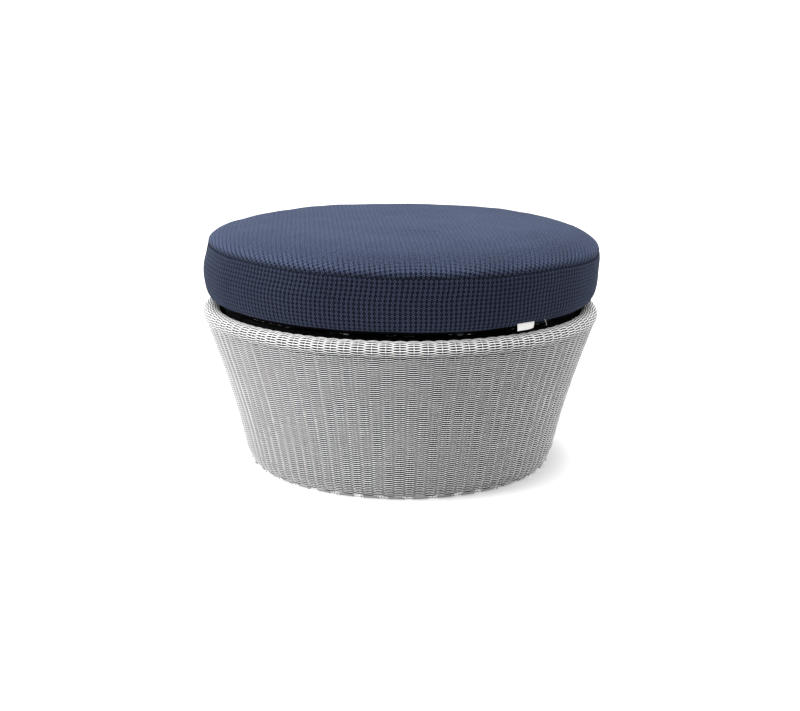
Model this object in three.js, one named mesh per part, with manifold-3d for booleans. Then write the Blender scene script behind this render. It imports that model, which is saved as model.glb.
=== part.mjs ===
// Round outdoor ottoman: a woven, flared base on a welded tube frame, with a boxed round cushion.
// Millimetres, +Z up. The origin is the centre of the footprint on the floor, and the front is -Y.
// A turn is an angle round the Z axis, measured from the front towards +X.
import * as THREE from "three";
import { mergeVertices } from "three/addons/utils/BufferGeometryUtils.js";
import Module from "manifold-3d";

const wasm = await Module();
wasm.setup();

// Overall form
const rimRadius = 400;
const rimCrestHeight = 323.5;
const wallFootRadius = 309;
const wallFootHeight = 7.5;
const fitGap = 0.3;

// Weave: vertical stakes with strands woven round them, which makes a fluted skin
const stakeCount = 100;
const weaveThickness = 4.9;
const wallFluteDepth = 1.6;
const rimFluteDepth = 2.2;

// Frame tubes
const topTubeRadius = 12.5;
const seatTubeRadius = 8;
const bottomTubeRadius = 10;
const barRadius = 10;
const uprightRadius = 6;
const tubeWall = 1.5;
const uprightCount = 8;
const uprightLeadCount = 2;
const seatRingInset = 32.3;

// Binding strap, wound round the bottom ring
const wrapCount = 40;
const wrapWidth = 27;
const wrapThickness = 1.5;
const wrapGap = 0.35;
const wrapTurn = degrees(-1.2);

// Seat webbing
const strapCount = 4;
const strapPitch = 110;
const strapWidth = 60;
const strapThickness = 1.6;
const strapTail = 14;

// Cushion
const cushionInset = 3;
const baseEdgeRise = 12;
const bandHeight = 96;
const crownRise = 54.5;
const clothThickness = 2.4;

// Zip in the back of the side band
const tapeHalfHeight = 10;
const tapeThickness = 0.9;
const chainHalfHeight = 2.6;
const chainThickness = 1.8;
const sliderLength = 14;
const sliderHalfHeight = 5.4;
const sliderPlate = 1.6;
const sliderGap = 0.45;
const bridgeLength = 9.4;
const bridgeWidth = 2.2;
const bridgeThickness = 1.2;
const pullLength = 30;
const pullHalfWidth = 3.2;
const pullThickness = 1.2;
const pullEyeHalfWidth = 1.8;
const pullEyeLength = 6;
const crossbar = 1.4;

// Sewn-in care tag, bare on both sides
const tagWidth = 40;
const tagHeight = 14;
const tagThickness = 0.6;
const tagAboveSeam = 7;
const tagTurn = degrees(34.8);

// Facets round each ring of points
const fluteColumns = 2 * stakeCount;
const innerColumns = stakeCount / 2;
const cushionColumns = 48;
const tubeSides = 8;
const topTubeSides = 10;
const uprightSides = 10;

// Rolled rim: a weave skin bent over the top tube from its lower outside to its inside
const rollStart = degrees(-45);
const rollStep = degrees(360 / topTubeSides);
const rollStepCount = 6;
const flutedStepCount = 4;
const rollInnerRadius = topTubeRadius + fitGap;
const rollRadius = rollInnerRadius + weaveThickness;
const topRingRadius = rimRadius - rollRadius;
const topRingHeight = rimCrestHeight - rollRadius;
const seatRingRadius = topRingRadius - seatRingInset;

// Wall outline, from its foot to the rim: shares of its flare and of its height
const wallOutlineShares = [
  [0, 0],
  [0.053, 0.031],
  [0.111, 0.072],
  [0.158, 0.131],
  [0.339, 0.358],
  [0.643, 0.673],
  [1, 1],
];
// The stakes are cut thin where they end under the bottom ring
const wallThicknessShares = [0.28, 1, 1, 1, 1, 1, 1];
const wallTopRadius = topRingRadius + rollRadius * Math.cos(rollStart);
const wallTopHeight = topRingHeight + rollRadius * Math.sin(rollStart) - fitGap;

// Cushion outline: shares of its radius, and of the height of each panel
const cushionRadius = rimRadius - cushionInset;
const basePanelShares = [
  [0, 0],
  [0.878, 0],
  [0.975, 1],
];
const sideBandShares = [
  [0.975, 0],
  [0.989, 0.146],
  [0.9975, 0.354],
  [1, 0.594],
  [0.987, 1],
];
const topPanelShares = [
  [0.987, 0],
  [0.98, 0.17],
  [0.955, 0.39],
  [0.9, 0.63],
  [0.79, 0.82],
  [0.5, 0.955],
  [0, 1],
];
const zipKnot = Math.floor(sideBandShares.length / 2);
const sideInnerPoints = [0, 2, 4];
const topInnerPoints = [0, 2, 4, 6];

// Facets of the cushion: one lies flat behind the tag, and the zip takes a run of them at the back
const cushionFacet = degrees(360 / cushionColumns);
const cushionStart = tagTurn - cushionFacet / 2;
const plainFacetCount = 10;
const zipFacetCount = 20;
const zipStart = cushionStart + plainFacetCount * cushionFacet;
const sliderTurn = zipStart + cushionFacet;

const colours = {
  aluminium: { color: 0x8f9294, roughness: 0.55, metalness: 0.6 },
  weave: { color: 0xc4c6c8, roughness: 0.5, metalness: 0 },
  binding: { color: 0xa2a4a6, roughness: 0.5, metalness: 0 },
  webbing: { color: 0x16171a, roughness: 0.9, metalness: 0 },
  cover: { color: 0x2c3b5c, roughness: 0.95, metalness: 0 },
  underside: { color: 0x111216, roughness: 0.95, metalness: 0 },
  foam: { color: 0xd8d4c4, roughness: 1, metalness: 0 },
  zip: { color: 0x1b2438, roughness: 0.7, metalness: 0 },
  slider: { color: 0x3a3d42, roughness: 0.4, metalness: 0.9 },
  tag: { color: 0xeceae6, roughness: 0.9, metalness: 0 },
};

function degrees(value) {
  return THREE.MathUtils.degToRad(value);
}

// A point at a radius, turn and height
function around(radius, turn, height) {
  return new THREE.Vector3(radius * Math.sin(turn), -radius * Math.cos(turn), height);
}

function part(name, geometry, finish) {
  const mesh = new THREE.Mesh(geometry, new THREE.MeshStandardMaterial(colours[finish]));
  mesh.name = name;
  return mesh;
}

// A closed revolve about Z of an outline of [radius, height] points
function revolve(outline, columns, startTurn = 0) {
  const points = outline.map(([radius, height]) => new THREE.Vector2(radius, height));
  const geometry = new THREE.LatheGeometry(points, columns, startTurn);
  return geometry.rotateX(Math.PI / 2);
}

// A solid bar or tube ring of polygon section, revolved about Z
function tubeRing(ringRadius, height, tubeRadius, sides, columns, firstVertex, startTurn = 0) {
  const outline = [];
  for (let i = 0; i <= sides; i += 1) {
    const angle = firstVertex + (2 * Math.PI * i) / sides;
    outline.push([ringRadius + tubeRadius * Math.cos(angle), height + tubeRadius * Math.sin(angle)]);
  }
  outline[sides] = outline[0];
  return revolve(outline, columns, startTurn);
}

// Indexed triangles to a geometry
function meshOf(points, faces) {
  const geometry = new THREE.BufferGeometry();
  geometry.setAttribute("position", new THREE.Float32BufferAttribute(points.flatMap((p) => p.toArray()), 3));
  geometry.setIndex(faces);
  return geometry;
}

// A flat band through rows of four corner points, each row in order round the band's section
function bandOf(rows, closed) {
  const faces = [];
  const corners = rows[0].length;
  const lengths = closed ? rows.length : rows.length - 1;
  for (let row = 0; row < lengths; row += 1) {
    const here = corners * row;
    const next = corners * ((row + 1) % rows.length);
    for (let corner = 0; corner < corners; corner += 1) {
      const after = (corner + 1) % corners;
      faces.push(here + corner, here + after, next + after);
      faces.push(here + corner, next + after, next + corner);
    }
  }
  if (!closed) {
    const last = corners * lengths;
    faces.push(0, 2, 1, 0, 3, 2);
    faces.push(last, last + 1, last + 2, last, last + 2, last + 3);
  }
  return meshOf(rows.flat(), faces);
}

// Faces between two rings of points that both start at the same turn and may differ in number
function stitch(lower, lowerCount, upper, upperCount, faces) {
  let i = 0;
  let j = 0;
  while (i < lowerCount || j < upperCount) {
    const a = lower + (i % lowerCount);
    const b = upper + (j % upperCount);
    if (j >= upperCount || (i < lowerCount && (i + 1) / lowerCount <= (j + 1) / upperCount)) {
      i += 1;
      faces.push(a, lower + (i % lowerCount), b);
    } else {
      j += 1;
      faces.push(a, upper + (j % upperCount), b);
    }
  }
}

// A skin through a closed loop of rings, each { radius, height, columns, flute, direction }:
// every second point of a fluted ring lies deeper by the flute, against the direction of its outside
function ringSkin(rings) {
  const points = [];
  const starts = [];
  for (const ring of rings) {
    starts.push(points.length);
    for (let i = 0; i < ring.columns; i += 1) {
      const depth = i % 2 ? ring.flute : 0;
      const turn = (2 * Math.PI * i) / ring.columns;
      const radius = ring.radius - depth * Math.cos(ring.direction);
      points.push(around(radius, turn, ring.height - depth * Math.sin(ring.direction)));
    }
  }
  const faces = [];
  rings.forEach((ring, i) => {
    const next = (i + 1) % rings.length;
    stitch(starts[i], ring.columns, starts[next], rings[next].columns, faces);
  });
  return meshOf(points, faces);
}

// Booleans
function solidOf(geometry) {
  const bare = new THREE.BufferGeometry();
  bare.setAttribute("position", geometry.getAttribute("position"));
  bare.setIndex(geometry.getIndex());
  const merged = mergeVertices(bare);
  const triVerts = new Uint32Array(merged.getIndex().array);
  const vertProperties = new Float32Array(merged.getAttribute("position").array);
  return new wasm.Manifold(new wasm.Mesh({ numProp: 3, vertProperties, triVerts }));
}

function geometryOf(solid) {
  const mesh = solid.getMesh();
  const geometry = new THREE.BufferGeometry();
  geometry.setAttribute("position", new THREE.BufferAttribute(mesh.vertProperties, 3));
  geometry.setIndex(new THREE.BufferAttribute(mesh.triVerts, 1));
  return geometry;
}

function cut(geometry, ...tools) {
  return geometryOf(tools.reduce((left, tool) => left.subtract(solidOf(tool)), solidOf(geometry)));
}

function join(...geometries) {
  const solids = geometries.map(solidOf);
  return geometryOf(solids.reduce((sum, next) => sum.add(next)));
}

// Wall outline points, outside and inside
function wallOutside() {
  const flare = wallTopRadius - wallFootRadius;
  const rise = wallTopHeight - wallFootHeight;
  return wallOutlineShares.map(([out, up]) => [wallFootRadius + flare * out, wallFootHeight + rise * up]);
}

function wallInside() {
  return wallOutside().map(([radius, height], i) => [radius - weaveThickness * wallThicknessShares[i], height]);
}

function wovenWall() {
  const outside = wallOutside();
  const lean = Math.atan2(wallTopRadius - wallFootRadius, wallTopHeight - wallFootHeight);
  const outer = outside.map(([radius, height], i) => ({
    radius,
    height,
    columns: fluteColumns,
    flute: wallFluteDepth * wallThicknessShares[i] * (i === outside.length - 1 ? 0 : 1),
    direction: -lean * wallOutlineShares[i][1],
  }));
  const inner = wallInside().map(([radius, height]) => ({
    radius,
    height,
    columns: innerColumns,
    flute: 0,
    direction: 0,
  }));
  return ringSkin([...outer, ...inner.reverse()]);
}

function wovenRim() {
  const outer = [];
  const inner = [];
  for (let i = 0; i <= rollStepCount; i += 1) {
    const direction = rollStart + rollStep * i;
    const fluted = i <= flutedStepCount;
    outer.push({
      radius: topRingRadius + rollRadius * Math.cos(direction),
      height: topRingHeight + rollRadius * Math.sin(direction),
      columns: fluted ? fluteColumns : stakeCount,
      flute: fluted ? rimFluteDepth : 0,
      direction,
    });
    inner.unshift({
      radius: topRingRadius + rollInnerRadius * Math.cos(direction),
      height: topRingHeight + rollInnerRadius * Math.sin(direction),
      columns: innerColumns,
      flute: 0,
      direction,
    });
  }
  return ringSkin([...outer, ...inner]);
}

// Bottom ring and its binding: straight lengths of ring, each with one straight turn of strap on it
const wrapPitch = (2 * Math.PI) / wrapCount;
const wrapInner = bottomTubeRadius + wrapGap;
const wrapOuter = wrapInner + wrapThickness;
const wrapFlat = wrapOuter * Math.cos(Math.PI / tubeSides);
const bottomRingHeight = wrapFlat;
const footRadii = wallInside()
  .filter(([, height]) => height <= bottomRingHeight + wrapOuter)
  .map(([radius]) => radius);
const footInside = Math.min(...footRadii) * Math.cos(Math.PI / innerColumns) - fitGap;
const wrapReach = Math.sqrt(footInside ** 2 - (wrapWidth / 2) ** 2) - wrapFlat;
const bottomRingRadius = wrapReach / Math.cos(wrapPitch / 2);
const firstSide = Math.PI / tubeSides;
const straightSideCount = 6;

function bottomRing(extra = 0) {
  const start = wrapTurn + wrapPitch / 2;
  const radius = bottomTubeRadius + extra;
  return tubeRing(bottomRingRadius, bottomRingHeight, radius, tubeSides, wrapCount, firstSide, start);
}

function topRing(extra = 0) {
  const radius = topTubeRadius + extra;
  return tubeRing(topRingRadius, topRingHeight, radius, topTubeSides, innerColumns, rollStart);
}

// One closed strap: each turn goes straight round the ring, and steps on to the next on the inside
function bindingStrap() {
  const rows = [];
  const half = wrapWidth / 2;
  const corners = [
    [-half, wrapInner],
    [half, wrapInner],
    [half, wrapOuter],
    [-half, wrapOuter],
  ];
  const centre = bottomRingRadius * Math.cos(wrapPitch / 2);
  const axis = new THREE.Vector3(0, 0, 1);
  for (let wrap = 0; wrap < wrapCount; wrap += 1) {
    for (let side = 0; side < tubeSides; side += 1) {
      // From the upper inside over the outside and the underside, and up the inside again
      const section = Math.PI / 2 + firstSide - side * degrees(360 / tubeSides);
      const step = Math.max(side + 1 - straightSideCount, 0) / (tubeSides - straightSideCount);
      const turn = wrapTurn + wrapPitch * (wrap + step);
      const row = corners.map(([across, radius]) => {
        const out = centre + radius * Math.cos(section);
        const height = bottomRingHeight + radius * Math.sin(section);
        return new THREE.Vector3(across, -out, height).applyAxisAngle(axis, turn);
      });
      rows.push(row);
    }
  }
  return bandOf(rows, true);
}

// Uprights: straight tubes from ring to ring, pushed in until the concave wall just clears them
function uprightLine() {
  const foot = new THREE.Vector2(bottomRingRadius, bottomRingHeight);
  const head = new THREE.Vector2(topRingRadius, topRingHeight);
  const along = head.clone().sub(foot);
  const length = along.length();
  along.normalize();
  const outward = new THREE.Vector2(along.y, -along.x);
  const lowest = bottomRingHeight + bottomTubeRadius;
  const highest = topRingHeight - topTubeRadius;
  const reaches = wallInside()
    .filter(([, height]) => height > lowest && height < highest)
    .map(([radius, height]) => {
      const point = new THREE.Vector2(radius * Math.cos(Math.PI / innerColumns), height);
      return point.sub(foot).dot(outward);
    });
  const inset = uprightRadius + fitGap - Math.min(...reaches);
  return { foot: foot.addScaledVector(outward, -Math.max(inset, 0)), along, length };
}

function upright() {
  const { foot, along, length } = uprightLine();
  const bore = uprightRadius - tubeWall;
  const tube = revolve(
    [
      [bore, 0],
      [uprightRadius, 0],
      [uprightRadius, length],
      [bore, length],
      [bore, 0],
    ],
    uprightSides,
  );
  tube.rotateX(Math.atan2(along.x, along.y));
  tube.translate(0, -foot.x, foot.y);
  return tube;
}

// Turned to its place between two turns of the binding strap, and coped to both rings
function uprightAt(index) {
  const first = wrapTurn + wrapPitch * (uprightLeadCount + 1 / 2);
  const turn = first + (2 * Math.PI * index) / uprightCount;
  return cut(upright().rotateZ(turn), topRing(fitGap), bottomRing(fitGap));
}

// Seat frame: a cross of bars under the seat ring, coped to the top ring
const rollEnd = rollStart + rollStep * rollStepCount;
const barTop = topRingHeight + rollInnerRadius * Math.sin(rollEnd) - fitGap;
const barHeight = barTop - barRadius;
const barReach = topRingRadius - topTubeRadius / 2;
const seatTubeFlat = seatTubeRadius * Math.cos(firstSide);
const seatRingHeight = barTop + fitGap + seatTubeFlat;

function rod(radius, length, sides) {
  return new THREE.CylinderGeometry(radius, radius, length, sides);
}

function longBar() {
  const bar = rod(barRadius, 2 * barReach, uprightSides).rotateZ(Math.PI / 2);
  bar.translate(0, 0, barHeight);
  return cut(bar, topRing(fitGap));
}

function shortBar(hand) {
  const bar = rod(barRadius, barReach, uprightSides);
  bar.translate(0, (hand * barReach) / 2, barHeight);
  const crossing = rod(barRadius + fitGap, 4 * barRadius, uprightSides).rotateZ(Math.PI / 2);
  crossing.translate(0, 0, barHeight);
  return cut(bar, topRing(fitGap), crossing);
}

function seatRing() {
  return tubeRing(seatRingRadius, seatRingHeight, seatTubeRadius, tubeSides, innerColumns, firstSide);
}

// Seat webbing: interlaced straps, each end turned round the seat ring. A strap is straight across,
// so on the ring's outside its middle needs room for the ring's curve between its two edges.
const outerStrap = strapOffset(strapCount - 1) / seatRingRadius;
const strapBulge = strapWidth ** 2 / (8 * seatRingRadius * (1 - outerStrap ** 2));
const strapRise = seatTubeFlat + fitGap + strapThickness / 2;
const deckMiddle = seatRingHeight + strapRise;
const strapLift = (strapThickness + fitGap) / 2;
// Bends at the corners of the ring's section, in half sides from its outermost side
const strapBendCounts = [3, 1, -1, -3];
const deckTop = deckMiddle + strapLift + strapThickness / 2;

function strapOffset(index) {
  return (index - (strapCount - 1) / 2) * strapPitch;
}

// The strap's middle line at one of its edges: [along, height] points from one tail to the other
function strapLine(edge, overFirst) {
  const chord = Math.sqrt(seatRingRadius ** 2 - edge ** 2);
  const slant = chord / seatRingRadius;
  const crossings = [];
  for (let i = 0; i < strapCount; i += 1) {
    const over = i % 2 === 0 ? overFirst : !overFirst;
    const height = deckMiddle + (over ? strapLift : -strapLift);
    const half = strapWidth / 2 + strapThickness;
    crossings.push([strapOffset(i) - half, height], [strapOffset(i) + half, height]);
  }
  const end = strapBendCounts.map((bend) => {
    const out = strapBulge + (strapRise * Math.cos(bend * firstSide)) / Math.cos(firstSide);
    const up = (strapRise * Math.sin(bend * firstSide)) / Math.cos(firstSide);
    return [chord + out / slant, seatRingHeight + up];
  });
  end.push([chord - strapTail / slant, seatRingHeight - strapRise]);
  const start = end.map(([along, height]) => [-along, height]).reverse();
  return [...start, ...crossings, ...end];
}

// Moves each point of a line sideways by half the strap's thickness
function offsetLine(line, distance) {
  return line.map(([x, z], i) => {
    const before = line[Math.max(i - 1, 0)];
    const after = line[Math.min(i + 1, line.length - 1)];
    const along = new THREE.Vector2(after[0] - before[0], after[1] - before[1]).normalize();
    return [x - along.y * distance, z + along.x * distance];
  });
}

function seatStrap(index, overFirst) {
  const near = strapOffset(index) - strapWidth / 2;
  const far = strapOffset(index) + strapWidth / 2;
  const half = strapThickness / 2;
  const corners = [
    [near, -half],
    [far, -half],
    [far, half],
    [near, half],
  ];
  const lines = corners.map(([edge, above]) => offsetLine(strapLine(edge, overFirst), above));
  const rows = lines[0].map((_, row) =>
    lines.map((line, i) => new THREE.Vector3(line[row][0], corners[i][0], line[row][1])),
  );
  return bandOf(rows, false);
}

// Cushion outlines, each from the inside of its seam to the next
const cushionFloor = deckTop + fitGap;
const lowSeamHeight = cushionFloor + baseEdgeRise;
const highSeamHeight = lowSeamHeight + bandHeight;

function outlineOf(shares, floor, height) {
  return shares.map(([out, up]) => [cushionRadius * out, floor + height * up]);
}

// The outline moved inwards by a depth; its ends keep their height, or their place on the axis
function insetOutline(outline, depth) {
  return outline.map(([radius, height], i) => {
    const before = outline[Math.max(i - 1, 0)];
    const after = outline[Math.min(i + 1, outline.length - 1)];
    const along = new THREE.Vector2(after[0] - before[0], after[1] - before[1]).normalize();
    if (radius === 0) return [0, height + depth * Math.sign(along.x)];
    if (i === 0 || i === outline.length - 1) return [radius - depth, height];
    return [radius - along.y * depth, height + along.x * depth];
  });
}

function closedShell(outside, inside) {
  return revolve([...outside, ...inside.reverse(), outside[0]], cushionColumns, cushionStart);
}

function sideBand() {
  const outside = outlineOf(sideBandShares, lowSeamHeight + fitGap / 2, bandHeight - fitGap);
  const inside = insetOutline(outside, clothThickness);
  return closedShell(outside, sideInnerPoints.map((i) => inside[i]));
}

function topPanel() {
  const outside = outlineOf(topPanelShares, highSeamHeight + fitGap / 2, crownRise - fitGap / 2);
  const inside = insetOutline(outside, clothThickness);
  return revolve([...topInnerPoints.map((i) => inside[i]).reverse(), ...outside], cushionColumns, cushionStart);
}

function basePanel() {
  const outside = outlineOf(basePanelShares, cushionFloor, baseEdgeRise - fitGap / 2);
  const inside = insetOutline(outside, clothThickness);
  return revolve([...outside, ...inside.reverse()], cushionColumns, cushionStart);
}

function foamCore() {
  const depth = clothThickness + fitGap;
  const base = insetOutline(outlineOf(basePanelShares, cushionFloor, baseEdgeRise), depth);
  const side = insetOutline(outlineOf(sideBandShares, lowSeamHeight, bandHeight), depth);
  const crown = insetOutline(outlineOf(topPanelShares, highSeamHeight, crownRise), depth);
  const outline = [...base.slice(0, 2), ...sideInnerPoints.map((i) => side[i]), crown[2], crown[4], crown[6]];
  return revolve(outline, cushionColumns / 2, cushionStart);
}

// The zip lies where the side band bends, so that each half of its tape is flat on the band
const bandOutline = outlineOf(sideBandShares, lowSeamHeight, bandHeight);
const zipHeight = bandOutline[zipKnot][1];
const tapeRadius = bandOutline[zipKnot][0] + fitGap + tapeThickness;
const chainRadius = tapeRadius + chainThickness;

function bandRadiusAt(height) {
  const upper = bandOutline.findIndex(([, z]) => z >= height);
  const [above, below] = [bandOutline[upper], bandOutline[upper - 1]];
  const share = (height - below[1]) / (above[1] - below[1]);
  return below[0] + share * (above[0] - below[0]);
}

function zipTape() {
  const low = zipHeight - tapeHalfHeight;
  const high = zipHeight + tapeHalfHeight;
  const chainLow = zipHeight - chainHalfHeight;
  const chainHigh = zipHeight + chainHalfHeight;
  const outer = fitGap + tapeThickness;
  const outline = [
    [bandRadiusAt(low) + fitGap, low],
    [bandRadiusAt(low) + outer, low],
    [bandRadiusAt(chainLow) + outer, chainLow],
    [chainRadius, chainLow],
    [chainRadius, chainHigh],
    [bandRadiusAt(chainHigh) + outer, chainHigh],
    [bandRadiusAt(high) + outer, high],
    [bandRadiusAt(high) + fitGap, high],
    [bandRadiusAt(zipHeight) + fitGap, zipHeight],
  ];
  const points = [];
  for (let facet = 0; facet <= zipFacetCount; facet += 1) {
    outline.forEach(([radius, height]) => points.push(around(radius, zipStart + facet * cushionFacet, height)));
  }
  const faces = [];
  const size = outline.length;
  for (let facet = 0; facet < zipFacetCount; facet += 1) {
    for (let i = 0; i < size; i += 1) {
      const here = facet * size;
      const after = (i + 1) % size;
      faces.push(here + i, here + size + i, here + size + after);
      faces.push(here + i, here + size + after, here + after);
    }
  }
  const flat = outline.map(([radius, height]) => new THREE.Vector2(radius, height));
  const last = zipFacetCount * size;
  for (const [a, b, c] of THREE.ShapeUtils.triangulateShape(flat, [])) {
    faces.push(a, b, c, last + a, last + c, last + b);
  }
  return meshOf(points, faces);
}

// Zip slider and pull, built at the front and turned to their place
const sliderFace = chainRadius + sliderGap + sliderPlate;
const crossbarRadius = sliderFace + fitGap + crossbar / 2;
const bridgeUnderside = crossbarRadius + crossbar / 2 + fitGap;
const bridgeTop = bridgeUnderside + bridgeThickness;

// A prism of a [outward, up] outline, running along the zip
function alongZip(outline, length) {
  const shape = new THREE.Shape(outline.map(([out, up]) => new THREE.Vector2(out, up)));
  const prism = new THREE.ExtrudeGeometry(shape, { depth: length, bevelEnabled: false });
  prism.translate(0, 0, -length / 2);
  const outward = new THREE.Vector3(0, -1, 0);
  const up = new THREE.Vector3(0, 0, 1);
  const back = new THREE.Vector3(-1, 0, 0);
  return prism.applyMatrix4(new THREE.Matrix4().makeBasis(outward, up, back));
}

// A plate of a [along, up] outline, with its thickness outwards
function facingOut(shape, thickness) {
  const plate = new THREE.ExtrudeGeometry(shape, { depth: thickness, bevelEnabled: false });
  const along = new THREE.Vector3(1, 0, 0);
  const up = new THREE.Vector3(0, 0, 1);
  const outward = new THREE.Vector3(0, -1, 0);
  return plate.applyMatrix4(new THREE.Matrix4().makeBasis(along, up, outward));
}

function rectangle(left, right, low, high) {
  return [
    new THREE.Vector2(left, low),
    new THREE.Vector2(right, low),
    new THREE.Vector2(right, high),
    new THREE.Vector2(left, high),
  ];
}

function zipSlider() {
  const flangeFoot = tapeRadius + sliderGap;
  const plateBack = chainRadius + sliderGap;
  const lip = chainHalfHeight + sliderGap;
  const body = alongZip(
    [
      [flangeFoot, -sliderHalfHeight],
      [sliderFace, -sliderHalfHeight],
      [sliderFace, sliderHalfHeight],
      [flangeFoot, sliderHalfHeight],
      [flangeFoot, lip],
      [plateBack, lip],
      [plateBack, -lip],
      [flangeFoot, -lip],
    ],
    sliderLength,
  );
  body.translate(0, 0, zipHeight);
  const bridge = new THREE.BoxGeometry(bridgeLength, bridgeTop - sliderFace + sliderPlate / 2, bridgeWidth);
  bridge.translate(0, -(bridgeTop + sliderFace - sliderPlate / 2) / 2, zipHeight);
  const spanLength = bridgeLength - 2 * bridgeThickness;
  const span = new THREE.BoxGeometry(spanLength, bridgeUnderside - sliderFace, 2 * bridgeWidth);
  span.translate(0, -(bridgeUnderside + sliderFace) / 2, zipHeight);
  return cut(join(body, bridge), span).rotateZ(sliderTurn);
}

function zipPull() {
  const tip = pullLength - crossbar / 2;
  const corner = pullHalfWidth / 2;
  const outline = [
    [-crossbar / 2, -pullHalfWidth],
    [tip - corner, -pullHalfWidth],
    [tip, -corner],
    [tip, corner],
    [tip - corner, pullHalfWidth],
    [-crossbar / 2, pullHalfWidth],
  ];
  const shape = new THREE.Shape(outline.map(([along, up]) => new THREE.Vector2(along, up)));
  const eyeEnd = crossbar / 2 + pullEyeLength;
  shape.holes.push(new THREE.Path(rectangle(crossbar / 2, eyeEnd, -pullEyeHalfWidth, pullEyeHalfWidth)));
  const pull = facingOut(shape, pullThickness);
  pull.translate(0, -(crossbarRadius - pullThickness / 2), zipHeight);
  return pull.rotateZ(sliderTurn);
}

function careTag() {
  const top = lowSeamHeight + tagAboveSeam;
  const tag = new THREE.BoxGeometry(tagWidth, tagThickness, tagHeight);
  const radius = bandRadiusAt(top) * Math.cos(cushionFacet / 2) + fitGap + tagThickness / 2;
  tag.translate(0, -radius, top - tagHeight / 2);
  return tag.rotateZ(tagTurn);
}

// Assembly
const ottoman = new THREE.Group();

const base = new THREE.Group();
base.add(part("top_ring", topRing(), "aluminium"));
base.add(part("bottom_ring", bottomRing(), "aluminium"));
base.add(part("seat_ring", seatRing(), "aluminium"));
base.add(part("long_cross_bar", longBar(), "aluminium"));
base.add(part("front_cross_bar", shortBar(-1), "aluminium"));
base.add(part("rear_cross_bar", shortBar(1), "aluminium"));
for (let i = 0; i < uprightCount; i += 1) {
  base.add(part(`upright_${i + 1}`, uprightAt(i), "aluminium"));
}
for (let i = 0; i < strapCount; i += 1) {
  base.add(part(`seat_strap_across_${i + 1}`, seatStrap(i, i % 2 === 0), "webbing"));
}
for (let i = 0; i < strapCount; i += 1) {
  const strap = part(`seat_strap_lengthwise_${i + 1}`, seatStrap(i, i % 2 === 0), "webbing");
  strap.rotation.z = Math.PI / 2;
  base.add(strap);
}
base.add(part("woven_wall", wovenWall(), "weave"));
base.add(part("woven_rim", wovenRim(), "weave"));
base.add(part("binding_strap", bindingStrap(), "binding"));
ottoman.add(base);

const cushion = new THREE.Group();
cushion.add(part("cushion_foam", foamCore(), "foam"));
cushion.add(part("cushion_base_panel", basePanel(), "underside"));
cushion.add(part("cushion_side_band", sideBand(), "cover"));
cushion.add(part("cushion_top_panel", topPanel(), "cover"));
cushion.add(part("zip_tape", zipTape(), "zip"));
cushion.add(part("zip_slider", zipSlider(), "slider"));
cushion.add(part("zip_pull", zipPull(), "slider"));
cushion.add(part("care_tag", careTag(), "tag"));
ottoman.add(cushion);

export default ottoman;
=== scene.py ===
"""Round woven outdoor ottoman: a flared base of woven resin strand, and a loose round cushion on it."""

import math

import bmesh
import bpy
import numpy as np
from bpy.props import FloatProperty, FloatVectorProperty, IntProperty, PointerProperty
from mathutils import Euler, Matrix, Vector
from mathutils.bvhtree import BVHTree


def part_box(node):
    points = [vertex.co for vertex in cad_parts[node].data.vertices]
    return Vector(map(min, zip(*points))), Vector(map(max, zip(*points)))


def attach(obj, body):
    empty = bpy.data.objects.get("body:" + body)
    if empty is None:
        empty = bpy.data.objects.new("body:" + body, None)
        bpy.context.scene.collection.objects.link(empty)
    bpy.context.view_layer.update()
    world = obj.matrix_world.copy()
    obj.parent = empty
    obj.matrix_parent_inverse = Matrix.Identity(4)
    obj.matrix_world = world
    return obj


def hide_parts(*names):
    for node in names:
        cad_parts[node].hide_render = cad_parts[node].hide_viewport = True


bl_info = {
    "name": "Round woven ottoman",
    "version": (1, 0, 0),
    "blender": (4, 5, 0),
    "location": "3D View > Sidebar > Ottoman",
    "description": "Builds a round woven outdoor ottoman with its cushion, piece by piece",
    "category": "Add Mesh",
}

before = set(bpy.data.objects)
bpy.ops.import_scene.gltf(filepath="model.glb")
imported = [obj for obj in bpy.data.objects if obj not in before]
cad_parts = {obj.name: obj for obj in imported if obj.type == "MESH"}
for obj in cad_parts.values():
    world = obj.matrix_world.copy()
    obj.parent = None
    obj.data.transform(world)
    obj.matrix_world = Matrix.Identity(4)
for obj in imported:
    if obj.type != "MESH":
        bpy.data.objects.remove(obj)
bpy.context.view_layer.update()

# Weave, in metres
WALL_FOOT_RADIUS = 0.309
WALL_FOOT_HEIGHT = 0.0075
WALL_TOP_HEIGHT = 0.293
RIM_RADIUS = 0.4
RIM_CREST_HEIGHT = 0.3235
WEAVE_THICKNESS = 0.0049
TOP_TUBE_REACH = 0.0128
ROLL_START = math.radians(-45)
ROLL_TURN = math.radians(216)
ROLL_STEPS = 48
ROLL_RADIUS = TOP_TUBE_REACH + WEAVE_THICKNESS
ROLL_CENTRE_RADIUS = RIM_RADIUS - ROLL_RADIUS
ROLL_CENTRE_HEIGHT = RIM_CREST_HEIGHT - ROLL_RADIUS
WALL_OUTLINE_SHARES = (
    (0, 0),
    (0.053, 0.031),
    (0.111, 0.072),
    (0.158, 0.131),
    (0.339, 0.358),
    (0.643, 0.673),
    (1, 1),
)
WALL_PIECES = 5
RIM_ROWS = 26
WALL_STEPS = 8
STEPS_PER_STAKE = 5
STAKE_POINTS = 30
SECTION_SIDES = 6

# Scale of a strand's section: in the middle, what it loses over a stake, and what it gains behind one
STRAND_WIDTH, STRAND_NARROWING, STRAND_SPREAD = 1.12, 0.46, 0.35

# The weave is thinner at its foot: by what share, and how far up that reaches
FOOT_DEPTH_SHARE = 0.28
FOOT_REACH = 0.01

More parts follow.
